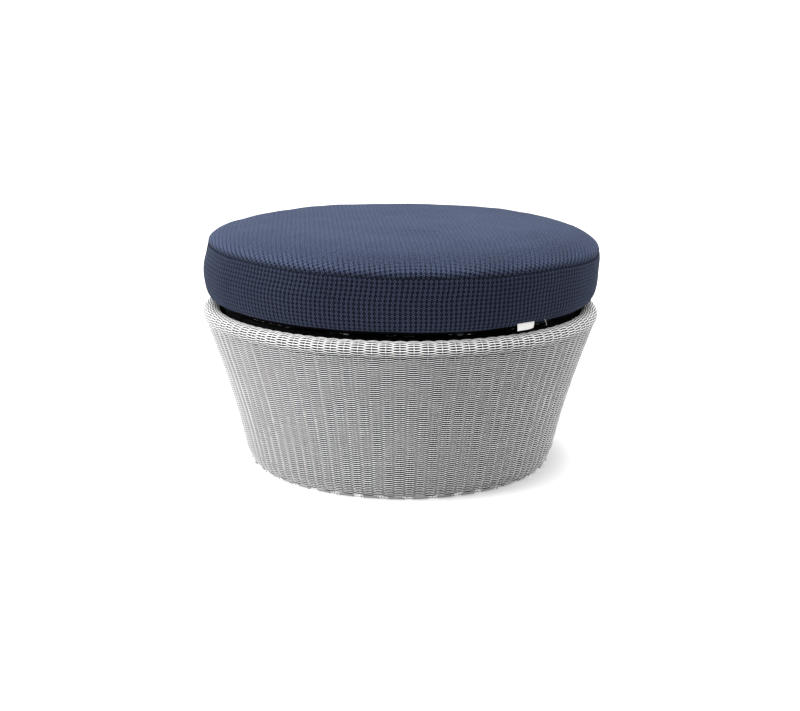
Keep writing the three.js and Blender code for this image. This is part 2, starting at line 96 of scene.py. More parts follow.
# Painted shade on a strand: its tone halfway between bowing out and tucking in, and on its faces towards
# the inside; the wall gets far more of it than the rim
WALL_STRAND_SHADE_TONES = (0.43, 0.02)
RIM_STRAND_SHADE_TONES = (0.78, 1.0)
STAKE_TONE = 0.6

# The strap at the foot leaves a gap after each of its turns, where bunches of stake ends hang down
FOOT_GAPS = 40
FOOT_GAP_TURN = math.radians(3.3)
FOOT_ENDS = ((0.3082, 0.0105), (0.3079, 0.0024))
FOOT_BUNCH = 4
FOOT_SPREAD = math.radians(0.95)
FOOT_WANDER = math.radians(0.35)
FOOT_END_THICKNESS = 0.0021

# Cushion outline: shares of its radius, and of the height of each panel
BASE_PANEL_SHARES = ((0, 0), (0.45, 0), (0.878, 0), (0.975, 1))
SIDE_BAND_SHARES = ((0.975, 0), (0.989, 0.146), (0.9975, 0.354), (1, 0.594), (0.987, 1))
TOP_PANEL_SHARES = (
    (0.987, 0),
    (0.98, 0.17),
    (0.955, 0.39),
    (0.9, 0.63),
    (0.79, 0.82),
    (0.5, 0.955),
    (0, 1),
)
CLOTH_THICKNESS = 0.0024
CUSHION_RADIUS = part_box("cushion_side_band")[1].x
COVER_COLUMNS = 480
COVER_STEPS = 24

# Share of the radius within which the base panel lies flat, and the share over which it rises from there
FLAT_SHARE, RISE_SHARE = 0.86, 0.11

# Cloth pattern: distances from the middle of a ring or an eye between which each of its edges fades
RING_EDGE, RING_MIDDLE = (0.0022, 0.0030), (0.0007, 0.0014)
EYE_EDGE, EYE_MIDDLE = (0.0024, 0.0032), (0.0008, 0.0015)

# How far from its seam the crown gets its painted light, first beside the seam and then in full
SEAM_LIGHT_REACH, CROWN_LIGHT_REACH = 0.016, 0.045

# A seam draws the cloth in: width of its groove, the dip beside it, and how far its pull reaches
SEAM_WIDTH = 0.0016
DIP_DEPTH, DIP_WIDTH = 0.0008, 0.009
CALM_WIDTH = 0.012

# Unevenness of the cloth: depth, scale and seed
PUCKERS = (0.5, 0.06, 5)
SWELLS = ((0.0004, 0.14, 11), (0.0002, 0.05, 12))

# Distance between rows of points on a panel: at a seam, how it grows away from there, and at most
BAND_ROWS = (0.0011, 0.12, 0.005)
CROWN_ROWS = (0.0011, 0.12, 0.008)
BASE_ROWS = (0.0015, 0.2, 0.03)

# The crease across the front of the top panel: its ends, its way in, its groove and the lip beside it
CREASE = ((-0.014, -0.1575), (0.082, -0.1625))
CREASE_RADIUS = 0.168
GROOVE_DEPTH, GROOVE_WIDTH = 0.0011, 0.0022
LIP_HEIGHT, LIP_WIDTH, LIP_OFFSET = 0.0009, 0.004, 0.006

# How far the top seam strays from level, by turn in degrees
TOP_SEAM_STRAY = (
    (-180, 0.002),
    (-130, 0.006),
    (-90, 0.0118),
    (-70, 0.0118),
    (-45, 0.0089),
    (-30, 0.0055),
    (0, 0.0027),
    (28, 0.0004),
    (46, 0.0019),
    (58, -0.0008),
    (72, -0.003),
    (86, -0.0015),
    (130, 0.0),
    (180, 0.002),
)

# The low seam climbs at both sides, a little more at the left, and sinks at one place in front
SIDE_CLIMB, LEFT_CLIMB = 0.0036, 0.0006
SINK_DEPTH, SINK_TURN, SINK_WIDTH = 0.0018, math.radians(20), math.radians(12)

# How far the cushion leans to the right, between which heights it comes to that, and its fuller edge
LEAN = 0.0052
LEAN_START, LEAN_END = 0.386, 0.432
EDGE_FULLNESS, EDGE_HEIGHT = 0.0022, 0.436

# How far the far shoulder sags, and from which height on
SHOULDER_SAG, SHOULDER_HEIGHT = 0.0058, 0.44

# Simulation of the stuffed cover as cloth
START_INSET = 0.006
SIMULATED_LINE_STEPS = 6
SIMULATED_COLUMNS = 144
SIMULATED_STEPS = 20
HELD_AT_SEAM, HELD_ON_FLOOR = 0.004, 0.003
VOXEL_SIZE = 0.006
SWELL_CAP = 0.022
CAST_REACH = 0.04
SMOOTHINGS = 12
CLOTH_SETTINGS = {
    "quality": 5,
    "mass": 0.35,
    "tension_stiffness": 18,
    "compression_stiffness": 18,
    "bending_stiffness": 0.4,
    "use_pressure": True,
    "uniform_pressure_force": 4,
    "shrink_min": 0.004,
}

# What is kept of its folds: those that are broad, and a share of the narrow ones, by folds to a turn
BROAD_FOLDS, NARROW_FOLDS, NARROW_SHARE = 5, 40, 0.08

# The foam core lies this far inside the cover, and further in at its side
FOAM_INSET = 0.0065
FOAM_SIDE_INSET = FOAM_INSET * 1.6
FOAM_LINE_STEPS = 3
FOAM_COLUMNS = 96

# Zip, tag and loose thread
ZIP_LOW, ZIP_HIGH = (corner.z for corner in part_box("zip_tape"))
ZIP_HEIGHT = (ZIP_LOW + ZIP_HIGH) / 2
ZIP_START = math.radians(106.05)
ZIP_END = math.radians(256.05)
CLOTH_GAP = 0.0003
TAPE_THICKNESS = 0.0009
CHAIN_THICKNESS = 0.0018
ZIP_END_MARGIN = 0.004
# Round the zip the band stays flat: half the height of that strip, and how far it takes to end
FLAT_HALF, FLAT_FADE, FLAT_END_FADE = 0.013, 0.012, 0.12
TOOTH_SIZE = (0.0009, 0.0016, 0.003)
TOOTH_ZIGZAG = 0.0009
STITCH_SIZE = (0.0025, 0.0005, 0.0005)
STITCH_PITCH = 0.0034
STITCH_INSET = 0.0022
TAG_TURN = math.radians(35.6)
TAG_SIZE = (0.040, 0.014)
TAG_THICKNESS = 0.0006
TAG_TUCK, TAG_WAVE = 0.0012, 0.0004
CURL_BACK, CURL_OUT, CURL_UP = 0.0050, 0.0030, 0.0026
THREAD_THICKNESS = 0.00056
THREAD_START, THREAD_LEAN = math.radians(42.6), math.radians(0.75)
THREAD_RADIUS, THREAD_BOW = 0.3893, 0.0016
THREAD_TOP, THREAD_DROP = 0.3445, 0.0125

# Stage: half the floor's width, and each light's width, place and the point that it faces
FLOOR_REACH = 40.0
TOP_LIGHT = (2.6, (0.0, 0.1, 2.7), (0.0, 0.0, 0.3))
SIDE_LIGHT = (1.6, (-2.6, -1.2, 1.4), (0.0, 0.0, 0.25))
SENSOR_WIDTH = 36


class WeaveSettings(bpy.types.PropertyGroup):
    """Sizes and colours of the woven base"""

    stakes: IntProperty(name="Stakes", description="Upright stakes round the base", default=100, min=8)
    row_pitch: FloatProperty(
        name="Row pitch",
        description="Distance between strand rows on the wall",
        default=0.0022,
        unit="LENGTH",
    )
    rim_pitch: FloatProperty(
        name="Rim row pitch",
        description="Distance between strand rows on the rim",
        default=0.00255,
        unit="LENGTH",
    )
    strand_share: FloatProperty(
        name="Strand height", description="Height of a strand as a share of the row pitch", default=1.0
    )
    strand_thickness: FloatProperty(
        name="Strand thickness", description="Thickness of a strand", default=0.0013, unit="LENGTH"
    )
    stake_thickness: FloatProperty(
        name="Stake thickness", description="Diameter of a stake", default=0.0016, unit="LENGTH"
    )
    wander: FloatProperty(
        name="Wander",
        description="How far a stake strays from its even place",
        default=math.radians(0.1),
        unit="ROTATION",
    )
    # Wall and rim are one resin strand; these two colours differ only to paint the different light that
    # falls on each
    wall_colour: FloatVectorProperty(
        name="Wall strand colour",
        description="Colour of the resin strand on the wall",
        subtype="COLOR",
        default=(0.84, 0.84, 0.84),
    )
    rim_colour: FloatVectorProperty(
        name="Rim strand colour",
        description="Colour of the resin strand on the rim",
        subtype="COLOR",
        default=(0.79, 0.79, 0.79),
    )
    binding_colour: FloatVectorProperty(
        name="Binding colour",
        description="Colour of the strap bound round the foot",
        subtype="COLOR",
        default=(0.27, 0.27, 0.27),
    )
    # Pale coat, which also stands in as painted light for the lit floor seen between the foot blocks
    lower_tube_colour: FloatVectorProperty(
        name="Lower frame colour",
        description="Coating of the ring at the foot and the uprights",
        subtype="COLOR",
        default=(0.95, 0.95, 0.95),
    )
    # Near-black coat, partly a dark coat and partly painted shade in the gap under the cushion
    upper_tube_colour: FloatVectorProperty(
        name="Upper frame colour",
        description="Coating of the tubes that carry the seat",
        subtype="COLOR",
        default=(0.003, 0.003, 0.0035),
    )
    # Near-black webbing: partly black straps, partly painted shade in the gap under the cushion
    webbing_colour: FloatVectorProperty(
        name="Webbing colour",
        description="Colour of the seat straps",
        subtype="COLOR",
        default=(0.002, 0.002, 0.0025),
    )


class CushionSettings(bpy.types.PropertyGroup):
    """Sizes and colours of the cushion"""

    pattern_across: FloatProperty(
        name="Ring pitch across",
        description="Distance between the rings of the cloth along a row",
        default=0.0090,
        unit="LENGTH",
    )
    pattern_along: FloatProperty(
        name="Ring pitch along",
        description="Distance between rows of rings in the cloth",
        default=0.0074,
        unit="LENGTH",
    )
    thread_colour: FloatVectorProperty(
        name="Thread colour",
        description="Colour of the light threads of the cover",
        subtype="COLOR",
        default=(0.0205, 0.0255, 0.0435),
    )
    ground_colour: FloatVectorProperty(
        name="Ground colour",
        description="Colour of the dark ground of the cover",
        subtype="COLOR",
        default=(0.0003, 0.0005, 0.0018),
    )
    cloth_turn: FloatProperty(
        name="Cloth turn",
        description="How far the weave of the top panel lies askew",
        default=math.radians(-4.4),
        unit="ROTATION",
    )
    # Painted light: the crown is the same cloth as the side, made paler to stand for top light and sheen at
    # grazing view
    crown_painted_light: FloatProperty(
        name="Crown lift",
        description="How much lighter the cloth is on the crown than on the side",
        default=1.9,
    )
    seam_depth: FloatProperty(
        name="Seam depth", description="How far a seam draws the cloth in", default=0.0026, unit="LENGTH"
    )
    zip_pitch: FloatProperty(
        name="Zip pitch",
        description="Distance between the teeth of the zip",
        default=0.00125,
        unit="LENGTH",
    )
    # Near-black base panel: partly a black underside, partly painted shade in the gap under the cushion
    underside_colour: FloatVectorProperty(
        name="Underside colour",
        description="Colour of the base panel",
        subtype="COLOR",
        default=(0.0012, 0.0012, 0.0015),
    )
    foam_colour: FloatVectorProperty(
        name="Foam colour",
        description="Colour of the foam core",
        subtype="COLOR",
        default=(0.7, 0.66, 0.55),
    )
    tag_colour: FloatVectorProperty(
        name="Tag colour",
        description="Colour of the bare care tag",
        subtype="COLOR",
        default=(0.46, 0.456, 0.444),
    )


class StageSettings(bpy.types.PropertyGroup):
    """Floor, light and camera"""

    floor_colour: FloatVectorProperty(
        name="Floor colour",
        description="Colour of the floor and the surroundings",
        subtype="COLOR",
        default=(0.97, 0.97, 0.97),
    )
    top_light: FloatProperty(
        name="Top light", description="Power of the soft light overhead", default=100.0, unit="POWER"
    )
    side_light: FloatProperty(
        name="Side light", description="Power of the soft light at the left", default=80.0, unit="POWER"
    )
    room_light: FloatProperty(
        name="Room light", description="Strength of the even light all round", default=1.4
    )
    distance: FloatProperty(
        name="Camera distance",
        description="From the lens to the point looked at",
        default=2.6582,
        unit="LENGTH",
    )
    look_height: FloatProperty(
        name="Look height", description="Height of the point looked at", default=0.2034, unit="LENGTH"
    )
    pitch: FloatProperty(
        name="Camera pitch",
        description="How far the camera looks down",
        default=math.radians(13.837),
        unit="ROTATION",
    )
    roll: FloatProperty(
        name="Camera roll", description="Lean of the camera", default=math.radians(0.426), unit="ROTATION"
    )
    lens: FloatProperty(name="Lens", description="Focal length in millimetres", default=57.92)


# Node building


def new_node(tree, kind, settings):
    made = tree.nodes.new(kind)
    for name, value in settings.items():
        setattr(made, name, value)
    return made


def put(tree, kind, *values, **settings):
    """Adds a node with its settings and feeds its inputs in order, leaving those given as None."""
    made = new_node(tree, kind, settings)
    for socket, value in zip(made.inputs, values):
        feed(tree, socket, value)
    return made


def put_named(tree, kind, inputs, **settings):
    """Adds a node with its settings and feeds its inputs by name."""
    made = new_node(tree, kind, settings)
    for name, value in inputs.items():
        feed(tree, made.inputs[name], value)
    return made


def feed(tree, socket, value):
    if isinstance(value, bpy.types.NodeSocket):
        tree.links.new(value, socket)
    elif value is not None:
        socket.default_value = value


def calc(tree, operation, a, b=None, c=None, clamp=False):
    return put(tree, "ShaderNodeMath", a, b, c, operation=operation, use_clamp=clamp).outputs[0]


def new_tree(name, kind, inputs, outputs):
    """A node group with its sockets, and its input and output nodes."""
    tree = bpy.data.node_groups.new(name, kind)
    for socket_name, socket_kind, default in inputs:
        socket = tree.interface.new_socket(
            socket_name, in_out="INPUT", socket_type="NodeSocket" + socket_kind
        )
        if default is not None:
            socket.default_value = default
    for socket_name, socket_kind in outputs:
        tree.interface.new_socket(socket_name, in_out="OUTPUT", socket_type="NodeSocket" + socket_kind)
    return tree, tree.nodes.new("NodeGroupInput").outputs, tree.nodes.new("NodeGroupOutput").inputs


def shared_group(name, build):
    """A node group that more than one piece uses, built when it is first asked for."""
    return bpy.data.node_groups.get(name) or build()


def link_object(name, mesh):
    made = bpy.data.objects.new(name, mesh)
    bpy.context.scene.collection.objects.link(made)
    return made


def mesh_object(name, points, faces, edges=()):
    mesh = bpy.data.meshes.new(name)
    mesh.from_pydata([tuple(p) for p in points], list(edges), list(faces))
    mesh.validate()
    mesh.update()
    return link_object(name, mesh)


def evaluated_mesh(piece):
    """A plain mesh of a piece as its modifiers make it."""
    evaluated = piece.evaluated_get(bpy.context.evaluated_depsgraph_get())
    return bpy.data.meshes.new_from_object(evaluated)


def smooth(piece):
    piece.data.polygons.foreach_set("use_smooth", [True] * len(piece.data.polygons))


def flip(piece):
    """Recalculates a closed piece's faces to point out."""
    work = bmesh.new()
    work.from_mesh(piece.data)
    bmesh.ops.recalc_face_normals(work, faces=work.faces)
    work.to_mesh(piece.data)
    work.free()


def finish_piece(piece, body, replaced=()):
    """Every made piece rides on its body, and hides the CAD parts that it stands for."""
    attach(piece, body)
    if replaced:
        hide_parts(*replaced)
    return piece


def paint(node_names, material):
    """A procedural material on CAD nodes, over whatever they carry."""
    for name in node_names:
        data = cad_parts[name].data
        data.materials.clear()
        data.materials.append(material)


# Geometry node groups of the weave


def wander_group():
    """How far a stake strays from its even place, at a turn and a length along the outline."""
    tree, given, result = new_tree(
        "stake_wander",
        "GeometryNodeTree",
        (
            ("Turn", "Float", 0.0),
            ("Length", "Float", 0.0),
            ("Amount", "Float", 0.005),
            ("Seed", "Float", 0.0),
        ),
        (("Stray", "Float"),),
    )
    circle = put(
        tree,
        "ShaderNodeCombineXYZ",
        calc(tree, "SINE", given["Turn"]),
        calc(tree, "COSINE", given["Turn"]),
        calc(tree, "MULTIPLY_ADD", given["Length"], 2.2, given["Seed"]),
    ).outputs[0]
    waves = put_named(
        tree, "ShaderNodeTexNoise", {"Vector": circle, "Scale": 9.0, "Detail": 1.5, "Roughness": 0.5}
    ).outputs[0]
    centred = calc(tree, "SUBTRACT", waves, 0.5)
    tree.links.new(
        calc(tree, "MULTIPLY", centred, calc(tree, "MULTIPLY", given["Amount"], 4.0)), result["Stray"]
    )
    return tree


def place_group():
    """A point on the surface that an outline sweeps round the axis, and the way out there."""
    tree, given, result = new_tree(
        "on_swept_outline",
        "GeometryNodeTree",
        (
            ("Outline", "Geometry", None),
            ("Length", "Float", 0.0),
            ("Turn", "Float", 0.0),
            ("Push", "Float", 0.0),
        ),
        (("Position", "Vector"), ("Outward", "Vector")),
    )
    sample = put_named(
        tree,
        "GeometryNodeSampleCurve",
        {"Curves": given["Outline"], "Length": given["Length"]},
        mode="LENGTH",
        use_all_curves=True,
    )
    place = put(tree, "ShaderNodeSeparateXYZ", sample.outputs["Position"]).outputs
    along = put(tree, "ShaderNodeSeparateXYZ", sample.outputs["Tangent"]).outputs
    drop = calc(tree, "MULTIPLY", along[0], -1.0)
    radius = calc(tree, "MULTIPLY_ADD", along[2], given["Push"], place[0])
    height = calc(tree, "MULTIPLY_ADD", drop, given["Push"], place[2])
    sine = calc(tree, "SINE", given["Turn"])
    cosine = calc(tree, "MULTIPLY", calc(tree, "COSINE", given["Turn"]), -1.0)
    x, y = (calc(tree, "MULTIPLY", radius, part) for part in (sine, cosine))
    position = put(tree, "ShaderNodeCombineXYZ", x, y, height)
    x, y = (calc(tree, "MULTIPLY", along[2], part) for part in (sine, cosine))
    outward = put(tree, "ShaderNodeCombineXYZ", x, y, drop)
    tree.links.new(position.outputs[0], result["Position"])
    tree.links.new(outward.outputs[0], result["Outward"])
    return tree


def stored(tree, shape, numbers):
    """Geometry with named numbers stored on its points."""
    for name, value in numbers.items():
        inputs = {"Geometry": shape, "Name": name, "Value": value}
        shape = put_named(tree, "GeometryNodeStoreNamedAttribute", inputs).outputs[0]
    return shape


def tube_end(tree, curve, across, up, scale, finish, tones):
    """Thickens curves to oval tubes, with their tones and the way their faces look stored on them."""
    circle = {"Resolution": SECTION_SIDES, "Radius": 0.5}
    section = put_named(tree, "GeometryNodeCurvePrimitiveCircle", circle)
    size = put(tree, "ShaderNodeCombineXYZ", across, up, 1.0)
    oval = put_named(
        tree, "GeometryNodeTransform", {"Geometry": section.outputs[0], "Scale": size.outputs[0]}
    ).outputs[0]
    toned = stored(tree, curve, tones)
    tube = put_named(
        tree,
        "GeometryNodeCurveToMesh",
        {"Curve": toned, "Profile Curve": oval, "Scale": scale, "Fill Caps": True},
    ).outputs[0]
    normal = put(tree, "GeometryNodeInputNormal").outputs[0]
    upward = put(tree, "ShaderNodeSeparateXYZ", normal).outputs[2]
    place = put(tree, "GeometryNodeInputPosition").outputs[0]
    level = put(tree, "ShaderNodeVectorMath", place, (1.0, 1.0, 0.0), operation="MULTIPLY").outputs[0]
    away = put(tree, "ShaderNodeVectorMath", level, operation="NORMALIZE").outputs[0]
    outward = put(tree, "ShaderNodeVectorMath", normal, away, operation="DOT_PRODUCT").outputs["Value"]
    # faces_up and faces_out drive the strand material's painted shade on undersides and inward faces
    marked = stored(tree, tube, {"faces_up": upward, "faces_out": outward})
    shaded = put_named(tree, "GeometryNodeSetShadeSmooth", {"Geometry": marked}).outputs[0]
    return finished(tree, shaded, finish)


def finished(tree, geometry, finish):
    """The end of every tree: real geometry with its material."""
    real = put(tree, "GeometryNodeRealizeInstances", geometry).outputs[0]
    return put_named(tree, "GeometryNodeSetMaterial", {"Geometry": real, "Material": finish}).outputs[0]


def split(tree, number, size):
    """Which group of a size a whole number falls in, and its place within that group."""
    group = calc(tree, "FLOOR", calc(tree, "DIVIDE", calc(tree, "ADD", number, 0.5), size))
    return group, calc(tree, "SUBTRACT", number, calc(tree, "MULTIPLY", group, size))


def laid_on_outline(tree, given, curves, length, even_turn, push):
    """Curves with each point laid on the swept outline, a little astray, and their sections turned out."""
    stray = put_named(
        tree,
        "GeometryNodeGroup",
        {"Turn": even_turn, "Length": length, "Amount": given["Wander"], "Seed": given["Seed"]},
        node_tree=shared_group("stake_wander", wander_group),
    ).outputs[0]
    turn = calc(tree, "ADD", even_turn, stray)
    outline = put(tree, "GeometryNodeMeshToCurve", given["Outline"]).outputs[0]
    placed = put_named(
        tree,
        "GeometryNodeGroup",
        {"Outline": outline, "Length": length, "Turn": turn, "Push": push},
        node_tree=shared_group("on_swept_outline", place_group),
    ).outputs
    moved = put_named(
        tree, "GeometryNodeSetPosition", {"Geometry": curves, "Position": placed["Position"]}
    ).outputs[0]
    return put_named(
        tree, "GeometryNodeSetCurveNormal", {"Curve": moved, "Normal": placed["Outward"]}, mode="FREE"
    ).outputs[0]


def rows_tree():
    """Rows of strand woven in and out of the stakes of a swept outline."""
    tree, given, result = new_tree(
        "woven_rows",
        "GeometryNodeTree",
        (
            ("Outline", "Geometry", None),
            ("Rows", "Int", 10),
            ("First Row", "Int", 0),
            ("Start", "Float", 0.0),
            ("Pitch", "Float", 0.0022),
            ("Stakes", "Int", 100),
            ("Steps", "Int", 5),
            ("Depth", "Float", 0.0049),
            ("Foot Depth Share", "Float", 1.0),
            ("Foot Length", "Float", 0.01),
            ("Strand Height", "Float", 0.0025),
            ("Strand Thickness", "Float", 0.0017),
            ("Wander", "Float", 0.005),
            ("Seed", "Float", 0.0),
            ("Finish", "Material", None),
        ),
        (("Strands", "Geometry"),),
    )
    steps_round = calc(tree, "MULTIPLY", given["Stakes"], given["Steps"])
    loop = put_named(
        tree, "GeometryNodeCurvePrimitiveCircle", {"Resolution": steps_round, "Radius": 1.0}
    ).outputs[0]
    loops = put_named(
        tree,
        "GeometryNodeDuplicateElements",
        {"Geometry": loop, "Amount": given["Rows"]},
        domain="SPLINE",
    ).outputs[0]
    row, step = split(tree, put(tree, "GeometryNodeInputIndex").outputs[0], steps_round)
    stake = calc(tree, "DIVIDE", step, given["Steps"])
    even_turn = calc(tree, "MULTIPLY", calc(tree, "DIVIDE", stake, given["Stakes"]), 2 * math.pi)
    number = calc(tree, "ADD", row, given["First Row"])
    length = calc(tree, "MULTIPLY_ADD", row, given["Pitch"], given["Start"])
    # Every other row passes outside a stake, and the next one inside
    swing = calc(tree, "COSINE", calc(tree, "MULTIPLY", calc(tree, "ADD", stake, number), math.pi))
    foot = calc(tree, "DIVIDE", length, given["Foot Length"], clamp=True)
    gained = calc(tree, "MULTIPLY", calc(tree, "SUBTRACT", 1.0, given["Foot Depth Share"]), foot)
    depth = calc(tree, "MULTIPLY", given["Depth"], calc(tree, "ADD", given["Foot Depth Share"], gained))
    play = calc(tree, "MAXIMUM", calc(tree, "SUBTRACT", depth, given["Strand Thickness"]), 0.0)
    middle = calc(tree, "MULTIPLY", depth, -0.5)
    push = calc(tree, "MULTIPLY_ADD", swing, calc(tree, "MULTIPLY", play, 0.5), middle)
    laid = laid_on_outline(tree, given, loops, length, even_turn, push)
    circle = put(
        tree,
        "ShaderNodeCombineXYZ",
        calc(tree, "MULTIPLY", calc(tree, "SINE", even_turn), 1.5),
        calc(tree, "MULTIPLY", calc(tree, "COSINE", even_turn), 1.5),
        calc(tree, "MULTIPLY", number, 3.7),
    ).outputs[0]
    row_tone = put_named(
        tree, "ShaderNodeTexNoise", {"Vector": circle, "Scale": 2.0, "Detail": 1.0}
    ).outputs[0]
    # strand_out also drives the strand material's painted shade where a strand tucks in, and its painted
    # highlight where it bows out
    tones = {"strand_tone": row_tone, "strand_out": swing}
    # A strand is drawn tight and narrow over a stake, and spreads behind it until it nearly meets the next
    behind = calc(tree, "MAXIMUM", calc(tree, "MULTIPLY", swing, -1.0), 0.0)
    spread = calc(tree, "MULTIPLY", calc(tree, "MULTIPLY", behind, behind), STRAND_SPREAD)
    drawn = calc(tree, "MULTIPLY_ADD", swing, -STRAND_NARROWING, STRAND_WIDTH)
    scale = calc(tree, "ADD", drawn, spread)
    across, up = given["Strand Thickness"], given["Strand Height"]
    tree.links.new(tube_end(tree, laid, across, up, scale, given["Finish"], tones), result["Strands"])
    return tree


def stakes_tree():
    """Stakes that stand along a swept outline, evenly or in bunches, whole or with ragged ends."""
    tree, given, result = new_tree(
        "stakes",
        "GeometryNodeTree",
        (
            ("Outline", "Geometry", None),
            ("Stakes", "Int", 100),
            ("Bunch", "Int", 1),
            ("Spread", "Float", 0.0),
            ("First Turn", "Float", 0.0),
            ("Ragged", "Float", 0.0),
            ("Points", "Int", 30),
            ("Push", "Float", -0.00245),
            ("Thickness", "Float", 0.0015),
            ("Wander", "Float", 0.005),
            ("Seed", "Float", 0.0),
            ("Finish", "Material", None),
        ),
        (("Rods", "Geometry"),),
    )
    outline = put(tree, "GeometryNodeMeshToCurve", given["Outline"]).outputs[0]
    even = put_named(
        tree, "GeometryNodeResampleCurve", {"Curve": outline, "Count": given["Points"]}
    ).outputs[0]
    rods = put_named(
        tree,
        "GeometryNodeDuplicateElements",
        {"Geometry": even, "Amount": given["Stakes"]},
        domain="SPLINE",
    ).outputs[0]
    rod, step = split(tree, put(tree, "GeometryNodeInputIndex").outputs[0], given["Points"])
    whole = put(tree, "GeometryNodeCurveLength", outline).outputs[0]
    chance = put_named(
        tree,
        "ShaderNodeTexWhiteNoise",
        {"W": calc(tree, "ADD", rod, given["Seed"])},
        noise_dimensions="1D",
    ).outputs[0]
    kept = calc(tree, "SUBTRACT", 1.0, calc(tree, "MULTIPLY", given["Ragged"], chance))
    share = calc(tree, "DIVIDE", step, calc(tree, "SUBTRACT", given["Points"], 1.0))
    length = calc(tree, "MULTIPLY", calc(tree, "MULTIPLY", share, kept), whole)
    bunch, within = split(tree, rod, given["Bunch"])
    centred = calc(tree, "SUBTRACT", within, calc(tree, "MULTIPLY_ADD", given["Bunch"], 0.5, -0.5))
    bunch_share = calc(tree, "DIVIDE", calc(tree, "MULTIPLY", bunch, given["Bunch"]), given["Stakes"])
    bunch_turn = calc(tree, "MULTIPLY_ADD", bunch_share, 2 * math.pi, given["First Turn"])
    even_turn = calc(tree, "MULTIPLY_ADD", centred, given["Spread"], bunch_turn)
    laid = laid_on_outline(tree, given, rods, length, even_turn, given["Push"])
    wide, tones = given["Thickness"], {"strand_tone": STAKE_TONE}
    tree.links.new(tube_end(tree, laid, wide, wide, 1.0, given["Finish"], tones), result["Rods"])
    return tree


def arc_tree():
    """Small blocks side by side along an arc round the axis, such as stitches or the teeth of a zip."""
    tree, given, result = new_tree(
        "along_arc",
        "GeometryNodeTree",
        (
            ("Count", "Int", 100),
            ("Start", "Float", 0.0),
            ("End", "Float", 1.0),
            ("Radius", "Float", 0.4),
            ("Height", "Float", 0.0),
            ("Zigzag", "Float", 0.0),
            ("Size", "Vector", (0.001, 0.001, 0.001)),
            ("Finish", "Material", None),
        ),
        (("Blocks", "Geometry"),),
    )
    dots = put_named(tree, "GeometryNodePoints", {"Count": given["Count"]}).outputs[0]
    index = put(tree, "GeometryNodeInputIndex").outputs[0]
    share = calc(tree, "DIVIDE", index, calc(tree, "SUBTRACT", given["Count"], 1.0))
    sweep = calc(tree, "SUBTRACT", given["End"], given["Start"])
    turn = calc(tree, "MULTIPLY_ADD", share, sweep, given["Start"])
    side = calc(tree, "MULTIPLY_ADD", calc(tree, "MODULO", index, 2.0), 2.0, -1.0)
    below = calc(tree, "MULTIPLY", given["Radius"], -1.0)
    position = put(
        tree,
        "ShaderNodeCombineXYZ",
        calc(tree, "MULTIPLY", calc(tree, "SINE", turn), given["Radius"]),
        calc(tree, "MULTIPLY", calc(tree, "COSINE", turn), below),
        calc(tree, "MULTIPLY_ADD", side, given["Zigzag"], given["Height"]),
    ).outputs[0]
    placed = put_named(
        tree, "GeometryNodeSetPosition", {"Geometry": dots, "Position": position}
    ).outputs[0]
    block = put_named(tree, "GeometryNodeMeshCube", {"Size": given["Size"]}).outputs[0]
    facing = put(tree, "ShaderNodeCombineXYZ", 0.0, 0.0, turn).outputs[0]
    rotation = put(tree, "FunctionNodeEulerToRotation", facing).outputs[0]
    blocks = put_named(
        tree, "GeometryNodeInstanceOnPoints", {"Points": placed, "Instance": block, "Rotation": rotation}
    ).outputs[0]
    tree.links.new(finished(tree, blocks, given["Finish"]), result["Blocks"])
    return tree


def grow(name, outline, tree, values):
    """Runs a node tree over an outline of radius and height pairs, and keeps a plain mesh of the result."""
    points = [(radius, 0.0, height) for radius, height in outline]
    edges = [(i, i + 1) for i in range(len(points) - 1)]
    guide = mesh_object(name + "_guide", points, [], edges)
    modifier = guide.modifiers.new(name, "NODES")
    modifier.node_group = tree
    for item in tree.interface.items_tree:
        if item.in_out == "INPUT" and item.name in values:
            modifier[item.identifier] = values[item.name]
    mesh = evaluated_mesh(guide)
    guide.modifiers.clear()
    bpy.data.objects.remove(guide)
    if len(mesh.polygons) == 0:
        raise RuntimeError(name + ": the node tree made no faces")
    mesh.name = name
    return link_object(name, mesh)


def wall_outline():
    """Outer outline of the wall, foot to rim, as a smooth line."""
    top_radius = ROLL_CENTRE_RADIUS + ROLL_RADIUS * math.cos(ROLL_START)
    flare = top_radius - WALL_FOOT_RADIUS
    rise = WALL_TOP_HEIGHT - WALL_FOOT_HEIGHT
    knots = [
        (WALL_FOOT_RADIUS + flare * out, WALL_FOOT_HEIGHT + rise * up) for out, up in WALL_OUTLINE_SHARES
    ]
    return smooth_line(knots, WALL_STEPS)


def rim_outline():
    """Outer outline of the rolled rim, from its lower outside, over the top, to its inside."""
    line = []
    for i in range(ROLL_STEPS + 1):
        direction = ROLL_START + ROLL_TURN * i / ROLL_STEPS
        radius = ROLL_CENTRE_RADIUS + ROLL_RADIUS * math.cos(direction)
        line.append((radius, ROLL_CENTRE_HEIGHT + ROLL_RADIUS * math.sin(direction)))
    return line


def smooth_line(knots, steps):
    """A smooth line through knots, with that many steps between two of them."""
    knots = np.array(knots, float)
    gaps = np.linalg.norm(np.diff(knots, axis=0), axis=1)
    at = np.concatenate([[0], np.cumsum(gaps)])
    slopes = np.gradient(knots, at, axis=0)
    line = []
    for i in range(len(knots) - 1):
        span = at[i + 1] - at[i]
        for k in range(steps):
            t = k / steps
            line.append(
                (2 * t**3 - 3 * t**2 + 1) * knots[i]
                + (t**3 - 2 * t**2 + t) * span * slopes[i]
                + (3 * t**2 - 2 * t**3) * knots[i + 1]
                + (t**3 - t**2) * span * slopes[i + 1]
            )
    line.append(knots[-1])
    return [tuple(p) for p in line]


def line_length(line):
    return sum(math.dist(a, b) for a, b in zip(line, line[1:]))


# Shader node groups


def noise(tree, place, scale, detail):
    return put_named(tree, "ShaderNodeTexNoise", {"Vector": place, "Scale": scale, "Detail": detail})


